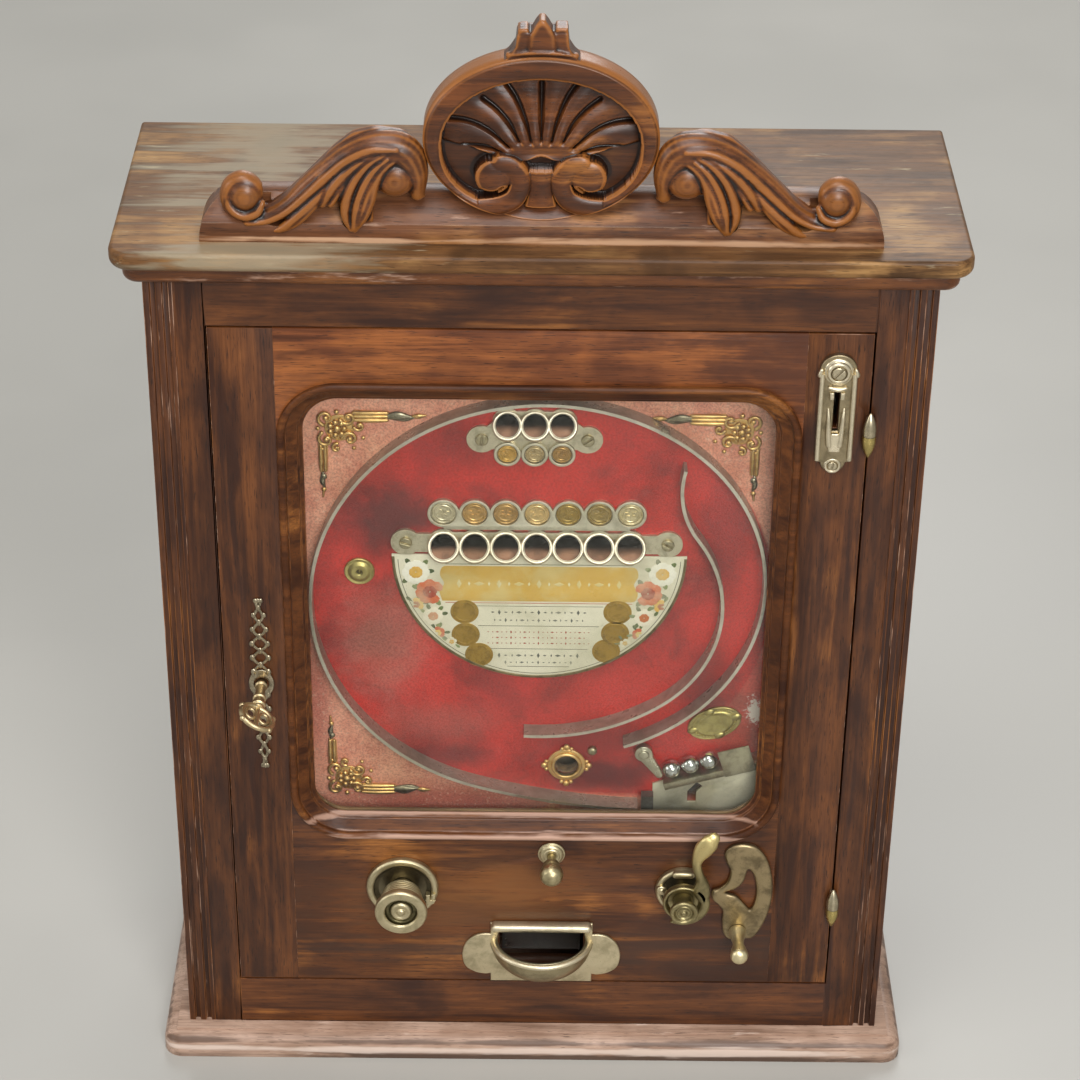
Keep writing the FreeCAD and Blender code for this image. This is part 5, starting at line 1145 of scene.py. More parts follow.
def token():
    """Pressed disc of 8 mm radius: a rolled rim, a sunk ring and six petals."""
    disc = turned([(0, 0.5), (5.0, 0.45), (5.3, 0.22), (5.9, 0.22), (6.2, 0.45), (7.0, 0.45), (7.3, 0.0),
        (7.9, 0.0), (8.15, 0.25), (8.15, 1.2), (0, 1.2)], 0, 0, 40, ease=0.12)
    petal = slab([(0, 0.9), (0.9, 2.4), (0, 4.3), (-0.9, 2.4)], 0.12, 0.7, ease=0.2)
    return together(disc, *[turned_round(petal, 0, 0, 60 * k) for k in range(6)])[:2]


def petal(wide, tall, start):
    """Thin drop-shaped leaf that stands on its point."""
    return slab([(0, start), (wide * 0.8, start + tall * 0.45), (wide, start + tall * 0.75),
        (wide * 0.45, start + tall), (-wide * 0.45, start + tall), (-wide, start + tall * 0.75),
        (-wide * 0.8, start + tall * 0.45)], -0.1, 0.1, ease=0.05, steps=1)


def sector(x, z, r_in, r_out, start, end, count=48):
    """Outline of a flat ring's piece between two angles in degrees; a full half disc where r_in is 0."""
    turns = [radians(start + (end - start) * k / count) for k in range(count + 1)]
    outer = [polar(x, z, r_out, a) for a in turns]
    return outer + [polar(x, z, r_in, a) for a in reversed(turns)] if r_in else outer


class PIN_OT_playfield(bpy.types.Operator):
    """Playfield: red paper, tracks, cups, tokens, plaque and gilt mounts"""
    bl_idname = "pin_game.playfield"
    bl_label = "Playfield"

    def execute(self, context):
        recut("playfield_facing", "paper", [red_paper("embossed_red_paper")], 0, "case", "red_paper")
        self.tracks()
        self.castings()
        self.tokens()
        self.plaque()
        self.mounts()
        self.fittings()
        return {"FINISHED"}

    def tracks(self):
        """Rolled steel strips on edge: bright worn front edges over duller, browned sides."""
        side = plated("rolled_steel_strip_side", "#AC9E92", "#7A6A60", 0.26, 0.5, 14, 0.3, "X", metallic=0.6)
        edge = plated("rolled_steel_strip_edge", metal().steel, "#8C8377", 0.34, 0.3, 12, 0.15, "X")
        for node in ("outer_track", "inner_track"):
            strip = softened(node, node + ".steel", [side, edge], 0)
            front = reach(node)[0].y + 0.5
            marked(strip, lambda face, middle: face.normal.y < -0.7 and middle.y < front)
            worked(strip, "case", "strip_steel", node)

    def castings(self):
        """Cast nickel: cream with age on the rims, which are rubbed smooth, and painted shade inside the
        bores, darkest over their upper half.
        """
        cast = plated("cast_nickel_holder", "#D8CEB6", "#857B66", 0.42, 0.4, 6, 0.35)
        lip = plated("cast_nickel_rim", "#DCD0BC", "#A29884", 0.4, 0.25, 6, 0.15)
        # Painted shade: darker brown inside the cups, with a near-black painted shadow over their upper
        # half.
        bore = plated("cast_nickel_bore_painted_shade", "#82604E", "#3E3028", 0.5, 0.4, 6, 0.2,
            spots=((-0.8, 380, 400, 8, 1.0, "#120E0C"), (-2.8, 470.5, 400, 8, 1.0, "#120E0C")))
        for node, cups in CUPS.items():
            holder = softened(node, node + ".casting", [cast, lip, bore], 0)
            marked(holder, self.cup_rule(holder.data, *cups))
            parts = self.cup_lips(*cups)
            if node == "cup_plate_three":
                x, low, high = cups[0], 446, 464
                parts.append((slab([(x - 23, low), (x + 23, low), (x + 27, high), (x - 27, high)], 31, 32,
                    ease=0.3), 0))
            worked(merged(holder, fitted(node + ".lips", parts, [cast, lip, bore])), "case", "nickel", node)
        strip = plated("pressed_token_strip", "#E0D8C4", "#9C917A", 0.4, 0.4, 8, 0.3)
        for node in ("token_strip", "token_strip_small"):
            recut(node, "strip", [strip], 0.5, "case", "gilt")

    def cup_lips(self, x, z, count, pitch, r):
        """Cups with rolled lips and bores closed by a floor in painted shade, mouths leaning up, as (shape,
        material) pairs.
        """
        shapes = ((turned([(r, 1.4), (r, 0.8), (r + 0.6, 0), (r + 1.7, 0), (r + 2.3, 0.8), (r + 2.3, 6),
            (r, 6), (r, 1.4)], 0, 0, 48, ease=0.3), 1),
            (turned([(0, 6.4), (r + 0.2, 6.4), (r + 0.2, 1.1), (r - 0.15, 1.1), (r - 0.15, 5.6), (0, 5.6)],
            0, 0, 40, ease=0), 2))
        made = []
        for i in range(count):
            middle = x + (i - (count - 1) / 2) * pitch
            for (verts, faces), mark in shapes:
                points = [(middle + u, min(31.9, 24.4 + v * cos(CUP_LEAN) + w * sin(CUP_LEAN)),
                    z + 0.3 - v * sin(CUP_LEAN) + w * cos(CUP_LEAN)) for u, v, w in verts]
                made.append(((points, faces), mark))
        return made

    def cup_rule(self, mesh, x, z, count, pitch, r):
        """Rule that gives 0 for a holder's plate, 1 for a cup's rim and 2 for its bore."""
        axis = Vector((0, cos(CUP_LEAN), -sin(CUP_LEAN)))
        cups = [Vector((x + (i - (count - 1) / 2) * pitch, 25, z)) for i in range(count)]

        def off(point):
            """Shortest way from a cup's middle line to a point."""
            ways = [(point - cup) - axis * (point - cup).dot(axis) for cup in cups]
            return min(ways, key=lambda way: way.length)

        def rule(face, middle):
            far = [off((mesh.vertices[v].co - spot(0, 0, 0)) / MM).length for v in face.vertices]
            bored = off(middle).dot(face.normal) < -0.3 * r or face.normal.y < -0.5
            if max(far) < r + 0.5 and bored:
                return 2
            return max(far) < r + 2.7 and min(far) > r - 0.6
        return rule

    def tokens(self):
        """Pressed tokens of nickel, brass and gilt, each a little different in colour."""
        look = plated("pressed_token", None, "#5A4A2C", 0.34, 0.4, 5, 0.35)
        places = [(x + (i - (len(tints) - 1) / 2) * pitch, 29.8, z, size, 23 * i, tint)
            for x, z, pitch, size, tints in TOKENS for i, tint in enumerate(tints)]
        worked(spread("prize_tokens.pressed", token(), places, look, turn=0.6, seed=4), "case", "gilt",
            "prize_tokens")

    def plaque(self):
        """Award plaque: cream enamel with printed bands, discs, ruled lines and garlands of blossom."""
        cream = enamel("cream_enamel", field().cream, "#B5AC8C")
        rim = plated("plaque_rim", "#8A7C5C", "#3C3628", 0.35, 0.5, 8, 0.4)
        yellow = enamel("yellow_enamel", field().yellow, "#D8C58A", share=0.6)
        gold = plated("plaque_gold_leaf", "#BF9A4C", "#7C6632", 0.42, 0.5, 7, 0.3)
        ink = enamel("printed_line", "#6E6A58", "#A39C82", share=0.7)
        red = enamel("printed_red_line", "#B4624A", "#D0A98C", share=0.6)
        low, high = reach("award_plaque")
        x, z, r = (low.x + high.x) / 2, high.z, (high.x - low.x) / 2
        ink_y, sheet_y = 30.66, 30.9
        parts = [(slab(sector(x, z, 0, r, 180, 360, 72), 30.8, 32, ease=0.2), 0),
            (slab(sector(x, z, r - 1.8, r, 181, 359, 72), 30.1, 31, ease=0.3), 1),
            (slab(sector(x, z - 0.6, r - 4.2, r - 3.75, 182, 358, 72), ink_y, sheet_y, ease=0.05, steps=1),
            4)]
        band = rounded([(-62, 333), (64, 333), (66, 340), (62, 346.5), (66, 353), (64, 360), (-62, 360),
            (-64, 353), (-60, 346.5), (-64, 340)], 3)
        parts.append((slab(band, ink_y, sheet_y, ease=0.08, steps=1), 2))
        for level, mark in ((331.4, 5), (361.2, 4)):
            parts.append((slab(oblong(-60, 62, level, level + 0.5), 30.68, sheet_y, ease=0.05, steps=1),
                mark))
        for row, level in enumerate((329, 313.5, 295.5, 281.5)):
            half = 42 - 2.4 * row * row
            parts.append((slab(oblong(x - half, x + half, level, level + 0.4), 30.7, sheet_y, ease=0.04,
                steps=1), 4))
        for dx, level in ((-48.5, 324.6), (-47.8, 306.6), (-39, 290.8), (51.5, 325), (50.3, 308.5),
                (44.7, 294.5)):
            disc = turned([(0, 30.62), (6.6, 30.62), (6.9, 30.5), (7.4, 30.5), (7.7, 30.62), (9.1, 30.62),
                (9.3, 30.75), (9.3, 30.9), (0, 30.9)], x + dx, level, 40, ease=0.05)
            parts.append((disc, 3))
        base = fitted("award_plaque.enamel", parts, [cream, rim, yellow, gold, ink, red])
        printed = enamel("printed_colours", None, "#D9D2B8", share=0.45)
        lozenge = slab([(0, -3.4), (1.6, 0), (0, 3.4), (-1.6, 0)], -0.1, 0.1, ease=0.05, steps=1)
        marks = [(x - 52 + 13 * k, 30.62, 346.5, 1.0, 90 * (k % 2), "#D8C486") for k in range(9)]
        marks += [(x - 45.5 + 13 * k, 30.62, 346.5, 0.5, 0, "#E0D6A8") for k in range(8)]
        for level, half, pitch, size, tint in ((324.5, 34, 4.3, 0.6, "#55564E"),
                (318.3, 30, 3.6, 0.5, "#6A6A60"), (309, 33, 3.0, 0.36, "#A84632"),
                (304.6, 30, 3.0, 0.36, "#B4543C"), (300.2, 33, 3.0, 0.36, "#A84632"),
                (290.5, 30, 4.3, 0.6, "#55564E"), (285, 24, 3.6, 0.45, "#6A6A60")):
            count = int(half / pitch)
            marks += [(x + pitch * k, ink_y, level, size * (0.6 if k % 3 else 1), 90 * (k % 2), tint)
                for k in range(-count, count + 1)]
        blooms, leaves = self.garlands(x, z, r)
        pieces = [spread("plaque.lozenges", lozenge, marks, printed),
            spread("plaque.blooms", petal(1.7, 3.6, 0.3), blooms, printed, turn=0.1, seed=3),
            spread("plaque.leaves", petal(1.0, 4.6, 2.6), leaves, printed, turn=0.25, seed=9)]
        worked(merged(base, *pieces), "case", "gilt", "award_plaque")

    def garlands(self, x, z, r):
        """Places of petals and leaves at the plaque's two ends; none reaches over its rim."""
        blooms, leaves = [], []
        for side in (-1, 1):
            for dx, level, size, count, outer, inner in ((80, 355, 2.3, 8, "#EFE9DA", "#D8A84A"),
                    (71, 340, 2.4, 7, "#D2663C", "#A63A26"), (80, 330, 1.3, 6, "#E6B24C", "#B4603A"),
                    (69, 321, 1.7, 7, "#EADFCB", "#C4703E"), (66, 308, 1.2, 6, "#CC6038", "#E2C070"),
                    (57, 301, 0.9, 5, "#E6DCC6", "#D8A84A")):
                u = x + side * dx
                blooms += [(u, 30.62 - 0.016 * k, level, size, 360 / count * k, outer) for k in range(count)]
                blooms += [(u, 30.42 - 0.012 * k, level, size * 0.5, 360 / count * (k + 0.5), inner)
                    for k in range(count)]
                leaves += [(u, 30.74 - 0.01 * k, level, 0.55 + 0.48 * size, 60 * k + 17 * size, green)
                    for k, green in enumerate(("#66733F", "#4E5A34", "#7E8A52", "#5A6638", "#6E7C48",
                    "#4A5530"))]

        def inside(place, long):
            """Whether a leaf's tip stays on the plaque and off its yellow band."""
            lean = radians(place[4])
            tip_x, tip_z = place[0] + long * place[3] * sin(lean), place[2] + long * place[3] * cos(lean)
            free = abs(tip_x - x) > 63 or tip_z < 332
            return hypot(tip_x - x, tip_z - z) < r - 4.5 and tip_z < z - 1.5 and free
        return [p for p in blooms if inside(p, 3.9)], [p for p in leaves if inside(p, 7.2)]

    def mounts(self):
        """Corner mounts: stamped gilt foliage, and along each side a ribbed bar, a leaf and a drop."""
        gilt = plated("stamped_gilt_brass", metal().gilt, "#8E6C3C", 0.4, 0.4, 5, 0.3)
        leaf = plated("stamped_nickel_leaf", "#9A907A", "#4C4434", 0.34, 0.5, 5, 0.4)

        def scroll(u, v, r, start, sweep):
            """Strand that curls in to a bud."""
            turns = [(start + sweep * k / 10, r * (1 - 0.07 * k)) for k in range(11)]
            return strand([(u + far * cos(radians(a)), 30.2, v + far * sin(radians(a)), 0.9 + 0.09 * far,
                1.3) for a, far in turns], 3, 10)
        boss = [scroll(*line) for line in ((-5.5, 6.5, 5.4, 250, -330), (8.5, 7, 5.2, 200, 320),
            (-5.5, -9, 5.4, 120, 320), (9.5, -8.5, 5.2, 170, -330), (15.5, 1, 3.4, 200, 300),
            (1, -15, 3.2, 80, 300))]
        boss += [ball(u, 30.2, v, r, deep=0.8, sides=14) for u, v, r in ((-5.5, 6.5, 1.9), (8.5, 7, 1.9),
            (-5.5, -9, 1.9), (9.5, -8.5, 1.9), (15.5, 1, 1.3), (1, -15, 1.2), (1.5, -1, 2.6),
            (-10.5, -1, 1.6), (1.5, 11, 1.7), (18, -7.5, 1.4), (12, -15, 1.4), (-8, -16, 1.2),
            (19, 5.5, 1.1))]
        boss += [ball(u, 30.0, v, 1.9, deep=0.8, sides=14) for u, v in ring(1.5, -1, 4.6, 7)]
        boss.append(slab(ring(3, -1, 9.5, 28), 31, 32, ease=0.3))
        across = [strand([(12, 30.6, h, 1.2, 1.2), (22, 30.2, h, 1.7, 1.5), (33, 30.6, h, 1.3, 1.2)], 6, 12)
            for h in (5.2, 7.9, 10.4)]
        across.append(slab([(12, 3.4), (34, 4.4), (36, 7.6), (34, 11.2), (12, 11.8)], 30.9, 32, ease=0.3))
        across_leaf = [strand([(31, 31, 7.6, 1.2, 0.8), (40, 30.4, 8.4, 3.2, 1.5),
            (49, 30.8, 7.2, 0.9, 0.9)], 8, 14),
            strand([(35, 31, 6.4, 0.8, 0.7), (44, 30.8, 5.8, 1.6, 1.1), (50, 31, 6.8, 0.6, 0.7)], 8, 12)]
        drop = strand([(49.5, 31, 8, 0.9, 0.8), (53, 30.6, 8.2, 1.9, 1.2), (57.5, 31, 8.6, 0.6, 0.6)], 8, 12)
        down = [strand([(w, 30.6, -14, 1.2, 1.2), (w, 30.2, -22, 1.6, 1.5), (w, 30.6, -32, 1.2, 1.2)], 6, 12)
            for w in (-9.2, -6.4)]
        down.append(slab([(-11, -13), (-4.4, -13), (-4.8, -32), (-10, -33.5)], 30.9, 32, ease=0.3))
        down_leaf = [ball(-7.6, 30.6, -36.5, 2.1, deep=0.6, sides=16),
            strand([(-8.2, 31, -34, 1, 0.8), (-8.6, 30.6, -40, 1.8, 1.2), (-7.4, 31, -44, 0.8, 0.8)], 6, 12)]
        tips = [ball(-7.8, 30.6, -46, 1.7, deep=0.7, sides=16),
            strand([(-8, 31, -46, 1, 0.8), (-8.4, 31, -51.5, 0.6, 0.6)], 5, 10)]
        shapes = [(s, 0) for s in boss + across + down + tips + [drop]]
        shapes += [(s, 1) for s in across_leaf + down_leaf]
        high = reach("corner_ornaments")[1]
        x, top, foot = 129.0, 463.0, 188.0
        parts = [(([(side * (u - x), min(y, high.y), level + up * v) for u, y, v in verts], faces), mark)
            for side, up, level in ((1, 1, top), (-1, 1, top), (1, -1, foot))
            for (verts, faces), mark in shapes]
        wrought("corner_ornaments", "stamped", parts, [gilt, leaf], "case", "gilt", 50)

    def fittings(self):
        """Cast and turned gilt: a beaded ring at the ball hole, a domed rosette and a bare oval badge."""
        gilt = plated("cast_gilt_brass", "#E8C080", "#9A7238", 0.36, 0.35, 6, 0.25)
        pale = plated("stamped_pale_brass", "#C2B274", "#7E7040", 0.36, 0.4, 6, 0.35)
        dark = plated("rosette_pin", "#6A5C38", "#2E2818", 0.4, 0.5, 4, 0.4)
        x, z = 21.0, 201.8
        parts = [(slab(ring(x, z, 13, 56), 29.8, 32, [ring(x, z, 9.6, 40)], ease=0.8, steps=3), 0),
            (turned([(8.05, 32), (8.05, 28.8), (8.6, 28.1), (9.6, 28.1), (10.5, 29), (10.7, 30.4),
            (10.7, 32), (8.05, 32)], x, z, 56, ease=0.35), 0)]
        for k in range(12):
            turn, far, size = ((-13, 14, 1.5), (0, 15, 2.3), (13, 14, 1.5))[k % 3]
            u, v = polar(x, z, far, radians(90 * (k // 3) + turn))
            parts.append((ball(u, 29.9, v, size, deep=0.7, sides=16), 0))
        x, z = -115.6, 355.0
        parts.append((turned([(0, 30.4), (1.7, 30.2), (2.2, 29.3), (5.0, 29.05), (6.6, 29.9), (7.4, 30.6),
            (8.6, 30.4), (9.4, 30.0), (10, 30.8), (10, 32), (0, 32)], x, z, 56, ease=0.5), 1))
        parts.append((ball(x, 30.1, z, 1.5, deep=0.6, sides=18), 2))
        x, z, stretch, lean = 119.5, 237.0, 1.5, radians(22)
        c, s = cos(lean), sin(lean)

        def tilted(shape):
            """Stretches a round shape drawn at (0, 0) to the badge's oval."""
            return [(x + px * stretch * c - pz * s, py, z + px * stretch * s + pz * c)
                for px, py, pz in shape[0]], shape[1]
        parts.append((tilted(turned([(0, 30.3), (6.6, 30.2), (7.4, 29.9), (8.4, 29.85), (9.2, 30.5),
            (11.0, 30.6), (11.8, 30.2), (12.3, 30.7), (12.4, 32), (0, 32)], 0, 0, 72, ease=0.4)), 1))
        for u, v in ring(0, 0, 10.2, 4):
            parts.append((tilted(ball(u, 30.6, v, 2.6, deep=0.6, sides=18)), 1))
        badge = fitted("playfield_fittings.cast", parts, [gilt, pale, dark])
        round_the_edge = tilted(([(u, 30.5, v) for u, v in ring(0, 0, 9.9, 40)], []))[0]
        beads = [(*place, 1.0, 0) for place in round_the_edge]
        pearls = spread("badge.beads", ball(0, 0, 0, 0.62, sides=10), beads, pale)
        worked(merged(badge, pearls), "case", "gilt", "playfield_fittings")


# Metalwork

# Places of the door's fittings, as x and z
PAYOUT_KNOB = (-89.4, 121.5)
THUMB_LEVER = (101.0, 121.5)
BALL_KNOB = (11.5, 150.0)
FINGER_PEG = (139.5, 88.0)
KEYHOLE = (-179.0, 288.0)
COIN_SLOT = (182.0, 497.0)

# Outlines round the lever's shaft and round the peg
LEVER_ARM = [(6, 9), (8, 19), (6, 27), (5.5, 38), (8.5, 48.5), (12, 55), (16.5, 57), (20.3, 52.5),
    (18, 45.5), (13, 39.5), (11, 33.5), (13, 24), (17, 15), (17.6, 6), (14, -1)]
FINGER_PLATE = [(-11, 66), (-6, 72), (3, 73.6), (11.5, 70), (18.5, 59), (22.5, 40), (21.5, 20), (17, 4),
    (11.5, -6), (5.5, -7.5), (-3.5, -8.5), (-9, -4), (-10.7, 7), (-10.5, 16), (-14, 22), (-18, 26.5),
    (-18.5, 33.5), (-13.5, 36), (-8.5, 42), (-7, 51), (-10, 59)]
FINGER_HOLE = [(-9.5, 32.5), (-2.5, 36), (2.5, 42), (5.5, 52.5), (9.7, 46), (11.5, 34), (10.7, 24), (8, 18),
    (4.5, 22), (-1.5, 29)]


class PIN_OT_launcher(bpy.types.Operator):
    """Launcher: plate, ball rail, gate, steel balls and the playfield's screws"""
    bl_idname = "pin_game.launcher"
    bl_label = "Launcher"

    def execute(self, context):
        # The darker spot low on the plate is painted shadow of the window moulding.
        plate = plated("dull_nickel_plate", "#DCD4BC", "#8A8268", 0.42, 0.45, 18, 0.4, "X",
            ((92, 165, 20, 12, 0.5, "#6E6650"),), 0.55)
        rail = plated("worn_nickel_rail", "#B9AF96", "#4C4534", 0.32, 0.45, 8, 0.4, "X")
        claw = plated("bright_nickel_claw", "#C9C2AC", "#5C5644", 0.28, 0.3, 6, 0.3)
        steel = plated("polished_ball_steel", metal().ball, "#8A8880", 0.12, 0.25, 9, 0.15)
        screw = plated("worn_screw", "#B7AB8C", "#4A422E", 0.36, 0.45, 3, 0.4)
        recut("launcher_plate", "nickel", [plate], 0.3, "case", "nickel")
        recut("ball_rail", "nickel", [rail], 0.5, "case", "strip_steel")
        recut("ball_gate", "claw", [claw], 0.7, "ball_gate", "strip_steel", 3)
        low, high = reach("steel_balls")
        r = (high.y - low.y) / 2
        first = Vector((low.x + r, low.y + r, low.z + r))
        step = (Vector((high.x - r, low.y + r, high.z - r)) - first) / 2
        balls = [ball(*(first + step * k), r, sides=48, rows=24) for k in range(3)]
        wrought("steel_balls", "polished", balls, [steel], "steel_balls", "ball_steel")
        heads = [(x + side * ear, 30, z, 1.05, 20 + 37 * k)
            for k, (x, z, ear, side) in enumerate(((-2.8, 455.3, 33.5, -1), (-2.8, 455.3, 33.5, 1),
            (-0.8, 378, 84.5, -1), (-0.8, 378, 84.5, 1)))]
        pin = fitted("pin", [turned([(0, 28), (1.6, 28), (2.6, 28.6), (3.2, 29.5), (3.2, 32), (0, 32)], 38.2,
            213.9, 36, ease=0.5)], [screw])
        worked(merged(pin, spread("playfield_screws.heads", slotted_head(), heads, screw, turn=0.5, seed=2)),
            "case", "strip_steel", "playfield_screws")
        return {"FINISHED"}


class PIN_OT_controls(bpy.types.Operator):
    """Controls: payout knob, ball knob, thumb lever, finger plate and peg, flanges and payout tray"""
    bl_idname = "pin_game.controls"
    bl_label = "Controls"

    def execute(self, context):
        m = metal()
        nickel = plated("aged_nickel", "#6E6550", m.nickel_dark, 0.34, 0.5, 9, 0.4)
        bright = plated("rubbed_nickel", m.nickel, "#7A7052", 0.36, 0.35, 9, 0.25)
        self.flanges(nickel, bright)
        self.knobs(bright)
        self.lever()
        self.tray()
        return {"FINISHED"}

    def flanges(self, nickel, bright):
        """Spun cups behind the knob and the lever, and a small stepped rose behind the ball knob."""
        x, z = PAYOUT_KNOB
        parts = [(turned([(4.05, 0), (4.05, -1.4), (16.4, -1.5), (19.2, -3.3), (19.8, -4.4), (19.8, 0),
            (4.05, 0)], x, z, 72, ease=0.5), 0),
            (turned([(19.6, -0.1), (19.6, -4.2), (20.6, -5), (23.2, -5), (24.4, -3.6), (24.5, -0.5),
            (24.1, -0.1), (19.6, -0.1)], x, z, 72, ease=0.4), 1)]
        for side in (-1, 1):
            left, right = x + 19.2 + side * 0.5, x + 19.2 + side * 3.2
            stop = [(left, z - 8.2 + side), (right, z - 8.2 + side), (right, z - 3 + side * 0.6),
                (left, z - 3)]
            parts.append((slab(stop, -6.9, -1, ease=0.6, steps=3), 1))
        heel = [(x + 15.6, z - 8.6), (x + 22.6, z - 8.6), (x + 21.4, z - 11.6), (x + 17, z - 13.6)]
        parts.append((slab(heel, -5.6, -1, ease=0.6, steps=3), 1))
        x, z = THUMB_LEVER
        parts += [(turned([(4.05, 0), (4.05, -1.4), (12.2, -1.5), (14.6, -3.4), (15.1, -4.5), (15.1, 0),
            (4.05, 0)], x, z, 64, ease=0.4), 0),
            (turned([(14.9, -0.1), (14.9, -4.3), (15.8, -5), (17.4, -5), (18.4, -3.8), (18.5, -0.5),
            (18.1, -0.1), (14.9, -0.1)], x, z, 64, ease=0.4), 1),
            (strand([(x - 5.4, -5.6, z + 15.8, 2.3, 2.5), (x, -5.8, z + 16.2, 2.4, 2.7),
            (x + 5.4, -5.6, z + 15.8, 2.3, 2.5)], 6, 20, flat=3.2), 1),
            (turned([(0, -7.8), (1.4, -7.8), (1.8, -7.2), (3.0, -7.2), (3.6, -6.4), (3.6, -2), (0, -2)],
            x - 14.5, z + 2.5, 28, ease=0.3), 1)]
        x, z = BALL_KNOB
        parts.append((turned([(3.05, 0), (3.05, -4), (5.0, -4), (5.8, -3.2), (6.6, -3.2), (7.6, -2.4),
            (8.2, -1.3), (9.2, -1), (9.2, 0), (3.05, 0)], x, z, 48, ease=0.35), 1))
        wrought("control_flanges", "spun", parts, [nickel, bright], "door", "nickel")

    def knobs(self, bright):
        """Turned payout knob with a rolled rim round a stepped boss, and the pear-shaped ball knob."""
        ridges = []
        for k in range(6):
            r, y = 16.0 - 0.6 * k, -24.6 + 2.6 * k
            ridges += [(r, y), (r - 0.1, y + 1.5), (r - 1.5, y + 1.7), (r - 1.6, y + 2.35)]
        front = [(0, -30.6), (1.6, -30.8), (2.4, -30.2), (2.9, -29.4), (4.2, -29.5), (4.9, -29.9),
            (6.2, -29.6), (7.1, -28.6), (7.5, -27.4), (8.0, -26.6), (9.8, -26.6), (10.5, -27.4),
            (10.8, -29.6), (11.6, -30.8), (13.6, -31), (16.6, -31), (17.5, -30), (17.7, -28.6),
            (17.7, -26.4), (17.0, -25.2), (15.4, -24.9)]
        x, z = PAYOUT_KNOB
        shaft = [(11.2, -8.4), (7.6, -7.8), (7.4, -2), (4, -2), (4, 24.5), (0, 24.5)]
        grime = plated("knob_groove", "#6E664A", "#231F14", 0.36, 0.5, 4, 0.4)
        piece = fitted("payout_knob.turned", [turned(front + ridges + shaft, x, z, 80, ease=0.22)],
            [bright, grime])
        marked(piece, lambda face, c: 7.3 < hypot(c.x - x, c.z - z) < 10.8 and c.y < -25)
        worked(piece, "payout_knob", "nickel", "payout_knob")
        x, z = BALL_KNOB
        pear = turned([(0, -30.4), (3.2, -29.9), (6.1, -28.1), (7.7, -25.4), (8.0, -22.6), (7.5, -19.9),
            (6.4, -17.6), (5.9, -16), (5.7, -14.6), (5.8, -13.4), (5.4, -12.6), (3, -12.3), (3, 21),
            (0, 21)], x, z, 48, ease=0.9)
        dull = plated("worn_push_nickel", "#B4A782", "#5C5238", 0.34, 0.4, 7, 0.3)
        wrought("ball_push_knob", "turned", [pear], [dull], "ball_push", "nickel")

    def lever(self):
        """Cast lever with a dished cup and a thumb piece rubbed to bright brass; plate and peg."""
        (x, z), y = THUMB_LEVER, -19.0
        cast = plated("cast_lever_brass", "#978B66", "#453E26", 0.34, 0.4, 9, 0.35,
            spots=((x + 15, z + 50, 16, 26, 1.0, "#D9C68C"),))
        outline = looped([(x + dx, z + dz) for dx, dz in LEVER_ARM])
        parts = [slab(outline, y, y + 6.5, ease=2.7, steps=5),
            strand([(x + 7.6, y + 3.2, z + 30, 2.6, 2.2), (x + 8.6, y + 3.0, z + 38, 4.4, 3.2),
            (x + 12.2, y + 2.2, z + 46, 6.6, 3.8), (x + 15.6, y + 1.6, z + 52, 6.4, 3.8),
            (x + 18, y + 1.8, z + 55.4, 4.6, 3.2)], 8, 24),
            turned([(0, y + 5), (10.4, y + 4.8), (11.8, y + 1.6), (12.4, y + 1), (13.4, y + 1), (14, y + 2),
            (14, y + 6), (12, y + 8.5), (0, y + 8.5)], x, z, 64, ease=0.5),
            slab(sector(x, z, 11.5, 18, -118, 58), y, y + 5.5, ease=2.2, steps=5),
            turned([(0, -28.6), (1.2, -29), (1.9, -28.4), (2.3, -27.4), (3.9, -27.2), (4.6, -28),
            (5.4, -28.2), (6.1, -27.4), (6.9, -28.8), (8.6, -29), (9.5, -28), (9.5, -25.4), (8.8, -24.6),
            (7.1, -24), (7.1, -14), (0, -14)], x, z, 56, ease=0.35),
            turned([(0, -15), (4, -15), (4, 28.5), (0, 28.5)], x, z, 32, ease=0.2)]
        wrought("thumb_lever", "cast", parts, [cast], "thumb_lever", "brass")
        plate = plated("finger_plate_nickel", "#A08E6C", "#4A4030", 0.34, 0.6, 11, 0.4, "Z")
        x, z = FINGER_PEG
        outline = looped([(x + dx, z + dz) for dx, dz in FINGER_PLATE])
        hole = looped([(x + dx, z + dz) for dx, dz in FINGER_HOLE])
        shape = slab(outline, -4.6, 0, [hole], ease=2.0, steps=5)
        wrought("finger_plate", "nickel", [shape], [plate], "door", "nickel")
        brass = plated("rubbed_peg_brass", metal().brass, "#8A7A4C", 0.36, 0.3, 8, 0.2)
        peg = turned([(0, -35.6), (2.8, -35.3), (5.0, -34.0), (6.1, -31.6), (6.1, -29.4), (5.5, -26),
            (4.5, -22.6), (3.8, -19), (3.9, -16), (4.8, -11.4), (5.7, -8.2), (6, -6.8), (6, -4.6),
            (0, -4.6)], x, z, 48, ease=1.2)
        wrought("finger_peg", "turned", [peg], [brass], "door", "brass")

    def tray(self):
        """Payout bowl and wings: cast and plated, with a bright rolled lip, and painted shade inside the
        bowl and along the seam round it.
        """
        outer = plated("tray_nickel", "#D2C4A2", "#7C7254", 0.4, 0.45, 12, 0.4)
